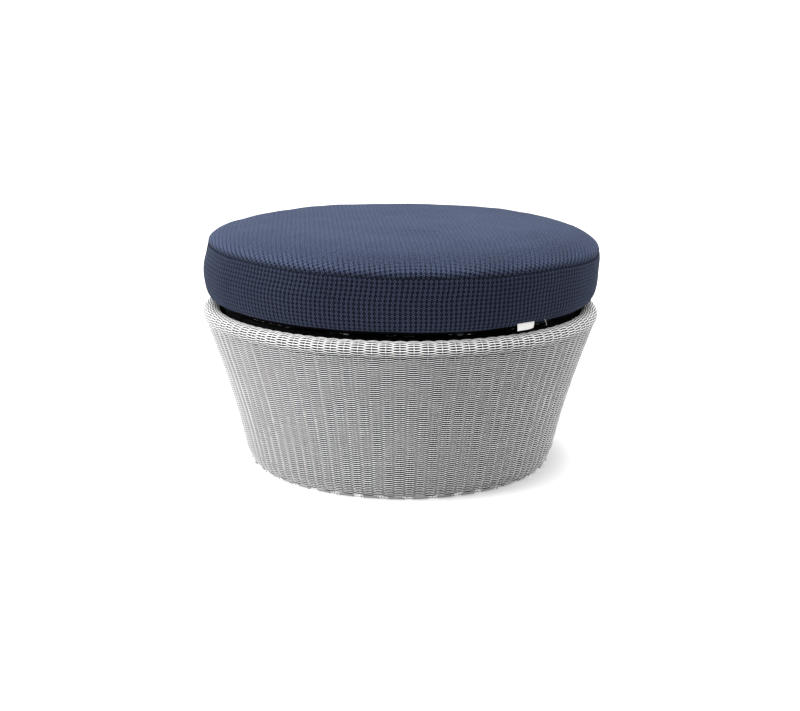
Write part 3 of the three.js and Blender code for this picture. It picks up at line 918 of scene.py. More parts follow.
def ease(tree, value, low, high, start=0.0, end=1.0):
    """Goes smoothly from start to end while a value goes from low to high."""
    return put(
        tree, "ShaderNodeMapRange", value, low, high, start, end, interpolation_type="SMOOTHSTEP"
    ).outputs[0]


def grain_group():
    """Fine uneven grain for a surface: a tone near 1 and a height."""
    tree, given, result = new_tree(
        "fine_grain",
        "ShaderNodeTree",
        (("Scale", "Float", 900.0), ("Tone", "Float", 0.1), ("Place", "Vector", None)),
        (("Tone", "Float"), ("Height", "Float")),
    )
    fine = noise(tree, given["Place"], given["Scale"], 3.0).outputs[0]
    wide = noise(tree, given["Place"], 14.0, 3.0).outputs[0]
    both = calc(tree, "ADD", fine, wide)
    tone = calc(tree, "MULTIPLY_ADD", calc(tree, "SUBTRACT", both, 1.0), given["Tone"], 1.0)
    tree.links.new(tone, result["Tone"])
    tree.links.new(fine, result["Height"])
    return tree


def ring_weave_group():
    """Cloth with rows of dark rings, and between them dark eyes with a light edge, in a net of threads."""
    tree, given, result = new_tree(
        "ring_weave",
        "ShaderNodeTree",
        (
            ("Place", "Vector", None),
            ("Across", "Float", 0.009),
            ("Along", "Float", 0.0074),
            ("Ring Tone", "Float", 0.0),
            ("Net Tone", "Float", 0.3),
            ("Edge Tone", "Float", 0.9),
        ),
        (("Thread", "Float"), ("Height", "Float")),
    )
    half, give = (0.5, 0.5, 0.5), (0.005, 0.005, 0.0)
    wobble = noise(tree, given["Place"], 12.0, 1.0).outputs["Color"]
    centred = put(tree, "ShaderNodeVectorMath", wobble, half, operation="SUBTRACT").outputs[0]
    shifted = put(tree, "ShaderNodeVectorMath", centred, give, given["Place"], operation="MULTIPLY_ADD")
    place = put(tree, "ShaderNodeSeparateXYZ", shifted.outputs[0]).outputs

    def offset(value, pitch, start):
        cell = calc(tree, "ADD", calc(tree, "DIVIDE", value, pitch), start)
        return calc(tree, "MULTIPLY", calc(tree, "SUBTRACT", calc(tree, "FRACT", cell), 0.5), pitch)

    def reach(start):
        x = offset(place[0], given["Across"], start)
        y = offset(place[1], given["Along"], start)
        square = calc(tree, "ADD", calc(tree, "MULTIPLY", x, x), calc(tree, "MULTIPLY", y, y))
        return calc(tree, "SQRT", square)

    ring_reach = reach(0.5)
    eye_reach = reach(0.0)
    outside_ring = ease(tree, ring_reach, *RING_EDGE)
    ring_middle = calc(tree, "MULTIPLY", ease(tree, ring_reach, *RING_MIDDLE, 1.0, 0.0), 0.5)
    edge = ease(tree, eye_reach, *EYE_EDGE, 1.0, 0.0)
    edge_tone = calc(tree, "MULTIPLY_ADD", edge, given["Edge Tone"], given["Net Tone"])
    net = calc(tree, "MULTIPLY", outside_ring, edge_tone)
    eye = ease(tree, eye_reach, *EYE_MIDDLE)
    ring = calc(tree, "MAXIMUM", ring_middle, given["Ring Tone"])
    woven = calc(tree, "MAXIMUM", calc(tree, "MULTIPLY", net, eye), calc(tree, "MULTIPLY", ring, eye))
    threads = noise(tree, given["Place"], 900.0, 1.0).outputs[0]
    slubs = noise(tree, given["Place"], 270.0, 1.0).outputs[0]
    fine = calc(tree, "MULTIPLY_ADD", threads, 1.4, 0.3)
    coarse = calc(tree, "MULTIPLY_ADD", slubs, 2.6, -0.3)
    uneven = calc(tree, "MULTIPLY", fine, calc(tree, "MAXIMUM", coarse, 0.1))
    tree.links.new(calc(tree, "MULTIPLY", woven, uneven), result["Thread"])
    tree.links.new(calc(tree, "MULTIPLY_ADD", threads, 0.25, net), result["Height"])
    return tree


SHADER_SOCKETS = {
    "metallic": "Metallic",
    "specular": "Specular IOR Level",
    "sheen": "Sheen Weight",
    "sheen_roughness": "Sheen Roughness",
    "subsurface": "Subsurface Weight",
}


def plain_material(name, roughness, **constants):
    """A material with its shader, its tree and its shader's own constants set."""
    material = bpy.data.materials.new(name)
    material.use_nodes = True
    tree = material.node_tree
    shader = tree.nodes["Principled BSDF"]
    shader.inputs["Roughness"].default_value = roughness
    for socket, value in constants.items():
        shader.inputs[SHADER_SOCKETS[socket]].default_value = value
    return material, tree, shader


def tinted(tree, colour, factor):
    """A colour times a factor."""
    return put(tree, "ShaderNodeVectorMath", colour, None, None, factor, operation="SCALE").outputs[0]


def bump(tree, shader, height, distance, strength=1.0):
    made = put_named(
        tree, "ShaderNodeBump", {"Strength": strength, "Distance": distance, "Height": height}
    )
    tree.links.new(made.outputs[0], shader.inputs["Normal"])


def object_place(tree):
    return put(tree, "ShaderNodeTexCoord").outputs["Object"]


def attribute(tree, name):
    return put(tree, "ShaderNodeAttribute", attribute_name=name).outputs["Fac"]


def grain_in(tree, scale, tone):
    """The fine grain, placed in a material with its own scale and tone."""
    return put_named(
        tree,
        "ShaderNodeGroup",
        {"Scale": scale, "Tone": tone, "Place": object_place(tree)},
        node_tree=shared_group("fine_grain", grain_group),
    ).outputs


def grained(name, colour, roughness, scale, tone, depth, **constants):
    """A material of one colour with an uneven tone and a fine grain."""
    material, tree, shader = plain_material(name, roughness, **constants)
    grain = grain_in(tree, scale, tone)
    tree.links.new(tinted(tree, colour, grain["Tone"]), shader.inputs["Base Color"])
    bump(tree, shader, grain["Height"], depth)
    return material


def strand_material(name, colour, rib_shade_tone, inner_shade_tone):
    """Satin resin strand with painted light: a painted highlight where it bows out, painted shade
    underneath, on its inward faces and where it tucks in.
    """
    material, tree, shader = plain_material(name, 0.42, specular=0.35)
    # The tones below are painted shade and a painted highlight, not the strand's own colour
    out = attribute(tree, "strand_out")
    painted_tuck_shade = ease(tree, out, -0.4, 0.12, 0.005, rib_shade_tone)
    painted_bow_highlight = ease(tree, out, 0.0, 0.6, 0.0, 1.0 - rib_shade_tone)
    under = ease(tree, attribute(tree, "faces_up"), -0.5, 0.4, 0.04, 1.0)
    inner = ease(tree, attribute(tree, "faces_out"), -0.3, 0.1, inner_shade_tone, 1.0)
    # tucked is all of this painted shade and highlight together
    tucked = calc(
        tree, "MULTIPLY", calc(tree, "ADD", painted_tuck_shade, painted_bow_highlight), calc(tree, "MULTIPLY", under, inner)
    )
    row = calc(tree, "MULTIPLY_ADD", attribute(tree, "strand_tone"), 0.5, 0.75)
    grain = grain_in(tree, 500.0, 0.12)
    factor = calc(tree, "MULTIPLY", calc(tree, "MULTIPLY", row, tucked), grain["Tone"])
    tree.links.new(tinted(tree, colour, factor), shader.inputs["Base Color"])
    bump(tree, shader, grain["Height"], 0.00008)
    return material


def ribbed_strap_material(name, colour, rib_scale, roughness):
    """Flat strap with fine ribs along it, wound or woven."""
    material, tree, shader = plain_material(name, roughness)
    grain = grain_in(tree, 260.0, 0.3)
    ribs = put_named(
        tree,
        "ShaderNodeTexWave",
        {"Vector": object_place(tree), "Scale": rib_scale, "Distortion": 0.6, "Detail": 1.0},
        bands_direction="Z",
    )
    tree.links.new(tinted(tree, colour, grain["Tone"]), shader.inputs["Base Color"])
    bump(tree, shader, calc(tree, "ADD", ribs.outputs["Fac"], grain["Height"]), 0.0001)
    return material


def webbing_material(colour):
    """Woven seat strap: a close checked weave of flat yarns."""
    material, tree, shader = plain_material("seat_webbing", 0.9, specular=0.02)
    place = put(tree, "ShaderNodeSeparateXYZ", object_place(tree)).outputs
    yarn_pitch = 0.003
    yarn = 2 * math.pi / yarn_pitch
    across, along = (calc(tree, "SINE", calc(tree, "MULTIPLY", place[i], yarn)) for i in range(2))
    weave = calc(tree, "MULTIPLY", across, along)
    factor = calc(tree, "MULTIPLY_ADD", weave, 0.35, 1.0)
    tree.links.new(tinted(tree, colour, factor), shader.inputs["Base Color"])
    bump(tree, shader, weave, 0.0003)
    return material


def cover_material(name, settings):
    """Ring-patterned outdoor cloth, read from the piece's own UV map in metres, with painted light making
    it paler up on the crown.
    """
    material, tree, shader = plain_material(name, 0.9, specular=0.02, sheen=0.055, sheen_roughness=0.45)
    shader.inputs["Sheen Tint"].default_value = (0.5, 0.64, 1.0, 1.0)
    edge = attribute(tree, "from_edge")
    crown = ease(tree, edge, 0.0, CROWN_LIGHT_REACH)
    # Each tone on the side band and on the crown; the crown's paler rings and lower contrast are painted
    # light
    tones = {"Ring Tone": (0.0, 0.5), "Net Tone": (0.4, 0.5), "Edge Tone": (1.2, 0.5)}
    blended = {}
    for socket, (low, high) in tones.items():
        blended[socket] = calc(tree, "MULTIPLY_ADD", crown, high - low, low)
    rings = put_named(
        tree,
        "ShaderNodeGroup",
        {
            "Place": put(tree, "ShaderNodeUVMap", uv_map="cloth").outputs[0],
            "Across": settings.pattern_across,
            "Along": settings.pattern_along,
            **blended,
        },
        node_tree=shared_group("ring_weave", ring_weave_group),
    ).outputs
    mix = put_named(tree, "ShaderNodeMix", {}, data_type="RGBA")
    feed(tree, mix.inputs[0], rings["Thread"])
    feed(tree, mix.inputs[6], (*settings.ground_colour, 1.0))
    feed(tree, mix.inputs[7], (*settings.thread_colour, 1.0))
    worn = noise(tree, object_place(tree), 5.0, 4.0).outputs[0]
    uneven = calc(tree, "MULTIPLY_ADD", worn, 0.5, 0.75)
    # The crown's lift is painted light; beside its seam the crown's open rings are darker than its closed
    # ones, so more of it is painted there
    extra = 0.7
    more = calc(tree, "MULTIPLY_ADD", crown, -extra, settings.crown_painted_light - 1 + extra)
    lift = calc(tree, "MULTIPLY_ADD", ease(tree, edge, 0.0, SEAM_LIGHT_REACH), more, 1.0)
    toned = tinted(tree, mix.outputs[2], calc(tree, "MULTIPLY", uneven, lift))
    tree.links.new(toned, shader.inputs["Base Color"])
    bump(tree, shader, rings["Height"], 0.0005, 0.8)
    return material


# Cushion shapes


def swept(reach, turns, heights):
    """Points at a reach from the axis, at turns round it and at heights, as one grid."""
    parts = np.broadcast_arrays(reach * np.sin(turns), -reach * np.cos(turns), heights)
    return np.stack(parts, axis=2)


class Panel:
    """One panel of the cover as rings of points, each with its place along the outline and round it."""

    def __init__(self, line, columns):
        self.line = np.array(line, float)
        self.along = lengths_along(self.line)
        self.turns = np.arange(columns) * 2 * math.pi / columns
        self.points = swept(self.line[:, 0][:, None], self.turns, self.line[:, 1][:, None])
        way = np.gradient(self.line, axis=0)
        way /= np.linalg.norm(way, axis=1)[:, None]
        self.outward = swept(way[:, 1][:, None], self.turns, -way[:, 0][:, None])

    def turn_over(self):
        """Starts the rings from the other edge."""
        self.along = self.along[-1] - self.along[::-1]
        self.points = self.points[::-1].copy()
        self.outward = self.outward[::-1].copy()


def lengths_along(line):
    steps = np.linalg.norm(np.diff(line, axis=0), axis=1)
    return np.concatenate([[0.0], np.cumsum(steps)])


def close_rows(line, features, near, growth, widest):
    """The same line with its points close together at some lengths along it, and wider apart elsewhere."""
    line = np.array(line, float)
    at = lengths_along(line)
    places = [0.0]
    while places[-1] < at[-1]:
        gap = min(abs(places[-1] - feature) for feature in features)
        places.append(places[-1] + min(widest, near + growth * gap))
    places = np.array(places) * at[-1] / places[-1]
    return np.stack([np.interp(places, at, line[:, i]) for i in range(2)], axis=1)


def cushion_sizes():
    """Radius and heights of the cushion, from the frame."""
    band_low, band_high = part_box("cushion_side_band")
    top_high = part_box("cushion_top_panel")[1]
    base_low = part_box("cushion_base_panel")[0]
    return band_high.x, base_low.z, band_low.z, band_high.z, top_high.z


def cushion_line(shares, radius, floor, ceiling, steps):
    knots = [(radius * out, floor + (ceiling - floor) * up) for out, up in shares]
    return smooth_line(knots, steps)


def whole_line(radius, levels, steps):
    """Outline of the whole cushion from its middle below to its middle on top, with its seams at levels."""
    panels = (BASE_PANEL_SHARES, SIDE_BAND_SHARES, TOP_PANEL_SHARES)
    line = []
    for shares, low, high in zip(panels, levels, levels[1:]):
        line += cushion_line(shares, radius, low, high, steps)[:-1]
    return line + [(0.0, levels[-1])]


def crown_line_length_to(line, radius):
    """Length along the crown's outline, from its edge to where it comes in to a radius."""
    line = np.array(line, float)
    return float(np.interp(-radius, -line[:, 0], lengths_along(line)))


def seam_wave(turns, height, low_seam, high_seam):
    """How far the seams stray from level: the top one leans, and the low one climbs at both sides."""
    at, stray = np.array(TOP_SEAM_STRAY).T
    lean = np.interp(np.degrees(np.arctan2(np.sin(turns), np.cos(turns))), at, stray)
    from_sink = np.arccos(np.cos(turns - SINK_TURN)) / SINK_WIDTH
    climb = SIDE_CLIMB * np.sin(turns) ** 2 - LEFT_CLIMB * np.sin(turns)
    climb = climb - SINK_DEPTH * np.exp(-(from_sink**2))
    share = np.clip((height - low_seam) / (high_seam - low_seam), 0, 1)
    return share * lean + (1 - share) * climb


def lean_over(points):
    """Leans the cushion's upper part to the right, fuller at its edge, and lets its far shoulder sag."""
    x, y, z = (points[:, :, i] for i in range(3))
    rise = np.clip((z - LEAN_START) / (LEAN_END - LEAN_START), 0, 1)
    rise = rise**2 * (3 - 2 * rise)
    reach = np.hypot(x, y)
    right = np.clip(x / reach.clip(1e-6), 0, 1) ** 2 * np.clip(reach / CUSHION_RADIUS, 0, 1) ** 8
    near_seam = np.exp(-(((z - EDGE_HEIGHT) / 0.02) ** 2))
    x += LEAN * rise + EDGE_FULLNESS * right * near_seam
    far = np.clip(y / CUSHION_RADIUS + 0.1, 0, 1)
    shoulder = np.exp(-(((reach / CUSHION_RADIUS - 0.9) / 0.1) ** 2))
    shoulder *= np.clip((z - SHOULDER_HEIGHT) / 0.02, 0, 1)
    z -= SHOULDER_SAG * far * shoulder


def off_zip(panel):
    """0 where the zip lies flat on the band, rising to 1 away from it."""
    height = panel.line[:, 1][:, None]
    turns = panel.turns[None, :]
    up = np.clip((np.abs(height - ZIP_HEIGHT) - FLAT_HALF) / FLAT_FADE, 0, 1)
    past = np.maximum(ZIP_START - turns, turns - ZIP_END)
    return np.maximum(up, np.clip(past / FLAT_END_FADE - 0.2, 0, 1))


def crease_fold(points):
    """Height of the faint crease that crosses the front of the top panel."""
    start, end = np.array(CREASE[0]), np.array(CREASE[1])
    way = end - start
    length = np.linalg.norm(way)
    way /= length
    offset = points[:, :, :2] - start
    along = offset @ way
    beside = offset @ np.array([-way[1], way[0]]) - 0.0012 * np.sin(along * 70)
    ends = np.clip(np.minimum(along, length - along) / 0.02, 0, 1)
    groove = -GROOVE_DEPTH * np.exp(-((beside / GROOVE_WIDTH) ** 2))
    lip = LIP_HEIGHT * np.exp(-(((beside + LIP_OFFSET) / LIP_WIDTH) ** 2))
    return (groove + lip) * ends


def revolved(name, line, columns):
    """A closed mesh from an outline that starts and ends on the axis and is swept round it."""
    points = [(0.0, 0.0, line[0][1])]
    rings = line[1:-1]
    for radius, height in rings:
        for k in range(columns):
            turn = 2 * math.pi * k / columns
            points.append((radius * math.sin(turn), -radius * math.cos(turn), height))
    points.append((0.0, 0.0, line[-1][1]))
    faces = []
    for k in range(columns):
        after = (k + 1) % columns
        faces.append((0, 1 + after, 1 + k))
        for i in range(len(rings) - 1):
            low = 1 + i * columns
            faces.append((low + k, low + after, low + columns + after, low + columns + k))
        last = 1 + (len(rings) - 1) * columns
        faces.append((last + k, last + after, len(points) - 1))
    return mesh_object(name, points, faces)


def inflate(sizes):
    """Simulates the stuffed cover as cloth under pressure, and returns its surface to fit the panels to."""
    radius, floor, low_seam, high_seam, top = sizes
    line = whole_line(radius - START_INSET, (floor, low_seam, high_seam, top), SIMULATED_LINE_STEPS)
    stuffed = revolved("stuffed_cover", line, SIMULATED_COLUMNS)
    remesh = stuffed.modifiers.new("voxels", "REMESH")
    remesh.mode = "VOXEL"
    remesh.voxel_size = VOXEL_SIZE
    mesh = evaluated_mesh(stuffed)
    stuffed.modifiers.clear()
    stuffed.data = mesh
    start = np.array([v.co for v in mesh.vertices])
    reach, height = np.hypot(start[:, 0], start[:, 1]), start[:, 2]
    from_seam = np.minimum(np.abs(height - high_seam), np.abs(height - low_seam))
    at_seam = (from_seam < HELD_AT_SEAM) & (reach > 0.9 * radius)
    on_floor = (height < floor + HELD_ON_FLOOR) & (reach < FLAT_SHARE * radius)
    fast = np.flatnonzero(at_seam | on_floor)
    held = stuffed.vertex_groups.new(name="held")
    held.add([int(i) for i in fast], 1.0, "REPLACE")
    cloth = stuffed.modifiers.new("cloth", "CLOTH")
    for name, value in CLOTH_SETTINGS.items():
        setattr(cloth.settings, name, value)
    cloth.settings.vertex_group_mass = "held"
    cloth.settings.effector_weights.gravity = 0
    cloth.point_cache.frame_start = 1
    cloth.point_cache.frame_end = SIMULATED_STEPS
    for step in range(1, SIMULATED_STEPS + 1):
        bpy.context.scene.frame_set(step)
    swollen = evaluated_mesh(stuffed)
    bpy.context.scene.frame_set(1)
    move = np.array([v.co for v in swollen.vertices]) - start
    size = np.linalg.norm(move, axis=1)
    move *= (np.minimum(size, SWELL_CAP) / np.maximum(size, 1e-9))[:, None]
    polygons = [tuple(p.vertices) for p in swollen.polygons]
    surface = BVHTree.FromPolygons([Vector(p) for p in start + move], polygons)
    bpy.data.objects.remove(stuffed)
    return surface


def fit_to(panel, surface, floor):
    """Moves a panel's points along their way out to the simulated surface, and keeps its mean outline."""
    rows, columns, _ = panel.points.shape
    found = np.zeros((rows, columns))
    for i in range(rows):
        for k in range(columns):
            way = Vector(panel.outward[i, k])
            start = Vector(panel.points[i, k]) + way * CAST_REACH
            distance = surface.ray_cast(start, -way, 2 * CAST_REACH)[3]
            found[i, k] = CAST_REACH - distance if distance is not None else 0.0
    found -= found.mean(axis=1)[:, None]
    for _ in range(SMOOTHINGS):
        found[1:-1] = (found[:-2] + 2 * found[1:-1] + found[2:]) / 4
    # The stuffing keeps the cover taut: broad swells stay, and only a little of the narrow folds
    folds = np.fft.rfft(found, axis=1)
    count = np.arange(folds.shape[1])
    broad, narrow = (np.exp(-((count / most) ** 2)) for most in (BROAD_FOLDS, NARROW_FOLDS))
    found = np.fft.irfft(folds * (broad + NARROW_SHARE * narrow), columns, axis=1)
    panel.points += panel.outward * (found * off_zip(panel))[:, :, None]
    panel.points[:, :, 2] = np.maximum(panel.points[:, :, 2], floor)


def soft_noise(points, scale, seed):
    """Smooth noise from a few seeded waves, near -1 to 1, at each point."""
    rng = np.random.default_rng(seed)
    total = np.zeros(points.shape[:-1])
    waves = 7
    for _ in range(waves):
        way = rng.normal(size=3)
        way /= np.linalg.norm(way)
        along = points @ way * 2 * math.pi / scale * rng.uniform(0.6, 1.6)
        total += np.sin(along + rng.uniform(0, 2 * math.pi))
    return total / math.sqrt(waves)


def seam_dip(distance, depth, width):
    """How far the cloth is drawn in at a distance from a seam."""
    return depth * np.exp(-((distance / width) ** 2))


def ring_quads(first, rings, columns):
    """Faces between rings of points that follow one another, from a first point on."""
    quads = []
    for i in range(rings - 1):
        low = first + i * columns
        for k in range(columns):
            after = (k + 1) % columns
            quads.append((low + k, low + after, low + columns + after, low + columns + k))
    return quads


def shell_object(name, panel, thickness, pole, flat):
    """A closed cloth shell from a panel: its outside, its inside and its edges, with a UV map in metres."""
    outer = panel.points
    inner = panel.points - panel.outward * thickness
    rows, columns, _ = outer.shape
    ring_rows = rows - 1 if pole else rows
    skins = []
    points = []
    marks = []
    for skin in (outer, inner):
        first = len(points)
        points += [tuple(p) for p in skin[:ring_rows].reshape(-1, 3)]
        marks += [(panel.along[i], turn) for i in range(ring_rows) for turn in panel.turns]
        tip = None
        if pole:
            tip = len(points)
            points.append(tuple(skin[-1].mean(axis=0)))
            marks.append((panel.along[-1], 0.0))
        skins.append((first, tip))
    faces = []
    for side, (first, tip) in enumerate(skins):
        skin = ring_quads(first, ring_rows, columns)
        if pole:
            last = first + (ring_rows - 1) * columns
            skin += [(last + k, last + (k + 1) % columns, tip) for k in range(columns)]
        faces += skin if side == 0 else [face[::-1] for face in skin]
    edge_rows = [0] if pole else [0, rows - 1]
    for edge in edge_rows:
        for k in range(columns):
            after = (k + 1) % columns
            a, b = edge * columns + k, edge * columns + after
            c, d = skins[1][0] + b, skins[1][0] + a
            faces.append((a, d, c, b) if edge == 0 else (b, c, d, a))
    piece = mesh_object(name, points, faces)
    marks = np.array(marks)
    put_uv(piece, marks, flat)
    edge = piece.data.attributes.new("from_edge", "FLOAT", "POINT")
    edge.data.foreach_set("value", marks[:, 0] * pole)
    smooth(piece)
    return piece


def put_uv(piece, marks, flat):
    """Writes each corner's place on the flat cloth, in metres, to the piece's UV map."""
    mesh = piece.data
    corners = np.empty(len(mesh.loops), dtype=np.int64)
    mesh.loops.foreach_get("vertex_index", corners)
    starts = np.empty(len(mesh.polygons), dtype=np.int64)
    mesh.polygons.foreach_get("loop_start", starts)
    sizes = np.empty(len(mesh.polygons), dtype=np.int64)
    mesh.polygons.foreach_get("loop_total", sizes)
    along, turn = marks[corners].T
    # A face across the join of the rings gets turns on one side of it
    highest = np.repeat(np.maximum.reduceat(turn, starts), sizes)
    turn = np.where(highest - turn > math.pi, turn + 2 * math.pi, turn)
    layer = mesh.uv_layers.new(name="cloth")
    layer.data.foreach_set("uv", flat(along, turn).astype(np.float32).ravel())


def flat_band(along, turn):
    return np.stack([CUSHION_RADIUS * turn, along], axis=1)


def flat_round(whole, askew):
    """The flat place on a round panel whose outline is that long, with its weave that far askew."""

    def place(along, turn):
        reach = whole - along
        return np.stack([reach * np.sin(turn + askew), -reach * np.cos(turn + askew)], axis=1)

    return place


def thin_tube(name, path, radius):
    """A thin closed tube along a path, for a loose thread."""
    path = np.array(path, float)
    sides = SECTION_SIDES
    ways = np.gradient(path, axis=0)
    ways /= np.linalg.norm(ways, axis=1)[:, None]
    points = []
    for spot, way in zip(path, ways):
        across = np.cross(way, (0.0, 1.0, 0.2))
        across /= np.linalg.norm(across)
        over = np.cross(way, across)
        for k in range(sides):
            turn = 2 * math.pi * k / sides
            points.append(spot + radius * (math.cos(turn) * across + math.sin(turn) * over))
    faces = [tuple(range(sides))[::-1], tuple(range(len(points) - sides, len(points)))]
    faces += ring_quads(0, len(path), sides)
    piece = mesh_object(name, points, faces)
    flip(piece)
    smooth(piece)
    return piece


def closed_sheet(name, front, back):
    """A thin closed sheet between two grids of points, rows by columns."""
    rows, columns, _ = front.shape
    points = [tuple(p) for p in front.reshape(-1, 3)] + [tuple(p) for p in back.reshape(-1, 3)]
    behind = rows * columns
    faces = []
    for i in range(rows - 1):
        for k in range(columns - 1):
            low = i * columns + k
            quad = (low, low + 1, low + columns + 1, low + columns)
            faces.append(quad)
            faces.append(tuple(behind + v for v in quad[::-1]))
    edge = list(range(columns))
    edge += [i * columns + columns - 1 for i in range(1, rows)]
    edge += [(rows - 1) * columns + k for k in range(columns - 2, -1, -1)]
    edge += [i * columns for i in range(rows - 2, 0, -1)]
    for a, b in zip(edge, edge[1:] + edge[:1]):
        faces.append((b, a, behind + a, behind + b))
    piece = mesh_object(name, points, faces)
    flip(piece)
    smooth(piece)
    return piece


def soft_light(name, power, size, place, target):
    light = bpy.data.lights.new(name, "AREA")
    light.energy = power
    light.shape = "DISK"
    light.size = size
    lamp = bpy.data.objects.new(name, light)
    lamp.location = place
    lamp.rotation_euler = (Vector(target) - Vector(place)).to_track_quat("-Z", "Y").to_euler()
    bpy.context.scene.collection.objects.link(lamp)


# Operators


class OTTOMAN_OT_weave(bpy.types.Operator):
    """Weaves the wall and the rolled rim, strand by strand, round their stakes"""

    bl_idname = "ottoman.weave"
    bl_label = "Wall and rim"

    def execute(self, context):
        settings = context.scene.ottoman_weave
        wall_strand = strand_material("wall_strand", settings.wall_colour, *WALL_STRAND_SHADE_TONES)
        rim_strand = strand_material("rim_strand", settings.rim_colour, *RIM_STRAND_SHADE_TONES)
        rows, stakes = rows_tree(), stakes_tree()
        wall, rim = wall_outline(), rim_outline()
        wall_rows = round(line_length(wall) / settings.row_pitch)
        wall_pitch = line_length(wall) / wall_rows
        shared = {
            "Stakes": settings.stakes,
            "Steps": STEPS_PER_STAKE,
            "Depth": WEAVE_THICKNESS,
            "Strand Thickness": settings.strand_thickness,
            "Wander": settings.wander,
        }
        each = wall_rows // WALL_PIECES
        first = 0
        for number in range(WALL_PIECES):
            count = each if number < WALL_PIECES - 1 else wall_rows - first
            piece = grow(
                f"woven_wall_rows_{number + 1}",
                wall,
                rows,
                {
                    **shared,
                    "Rows": count,
                    "First Row": first,
                    "Start": wall_pitch * (first + 0.5),
                    "Pitch": wall_pitch,
                    "Foot Depth Share": FOOT_DEPTH_SHARE,
                    "Foot Length": FOOT_REACH,
                    "Strand Height": wall_pitch * settings.strand_share,
                    "Finish": wall_strand,
                },
            )
            finish_piece(piece, "base", ["woven_wall"])
            first += count
        piece = grow(
            "woven_rim_rows",
            rim,
            rows,
            {
                **shared,
                "Rows": RIM_ROWS,
                "First Row": wall_rows,
                "Start": settings.rim_pitch * 0.5,
                "Pitch": settings.rim_pitch,
                "Strand Height": settings.rim_pitch * settings.strand_share,
                "Finish": rim_strand,
            },
        )
        finish_piece(piece, "base", ["woven_rim"])
        for name, outline, strand in (
            ("wall_stakes", wall, wall_strand),
            ("rim_stakes", rim, rim_strand),
        ):
            piece = grow(
                name,
                outline,
                stakes,
                {
                    "Stakes": settings.stakes,
                    "Bunch": 1,
                    "Points": STAKE_POINTS,
                    "Push": -WEAVE_THICKNESS / 2,
                    "Thickness": settings.stake_thickness,
                    "Wander": settings.wander,
                    "Finish": strand,
                },
            )
            finish_piece(piece, "base")
        piece = grow(
            "foot_ends",
            FOOT_ENDS,
            stakes,
            {
                "Stakes": FOOT_GAPS * FOOT_BUNCH,
                "Bunch": FOOT_BUNCH,
                "Spread": FOOT_SPREAD,
                "First Turn": FOOT_GAP_TURN,
                "Ragged": 0.75,
                "Points": 4,
                "Push": 0.0,
                "Thickness": FOOT_END_THICKNESS,
                "Wander": FOOT_WANDER,
                "Seed": 4.0,
                "Finish": rim_strand,
            },
        )
        finish_piece(piece, "base")
        return {"FINISHED"}


class OTTOMAN_OT_frame(bpy.types.Operator):
    """Coats the frame tubes, and finishes the binding strap and the seat straps"""

    bl_idname = "ottoman.frame"
    bl_label = "Frame, binding and seat straps"

    def execute(self, context):
        settings = context.scene.ottoman_weave
        lower = [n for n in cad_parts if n.startswith("upright")] + ["bottom_ring"]
        upper = [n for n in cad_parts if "bar" in n or (n.endswith("_ring") and n != "bottom_ring")]
        # Over a guessed coat, the pale lower tubes paint the lit floor seen between the foot blocks, and
        # the near-black upper tubes paint the shade in the gap under the cushion
        for names, colour, title, gloss in (
            (lower, settings.lower_tube_colour, "pale_coat_and_painted_light_tube", 0.4),
            (upper, settings.upper_tube_colour, "dark_coat_and_painted_shade_tube", 0.02),
        ):
            paint(names, grained(title, colour, 0.7, 1600.0, 0.12, 0.00004, specular=gloss))
        binding = ribbed_strap_material("binding_strap", settings.binding_colour, 160.0, 0.5)
        paint(["binding_strap"], binding)
        straps = [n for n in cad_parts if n.startswith("seat_strap")]
        # The straps' near-black colour is partly black webbing and partly painted shade under the cushion
        paint(straps, webbing_material(settings.webbing_colour))
        return {"FINISHED"}


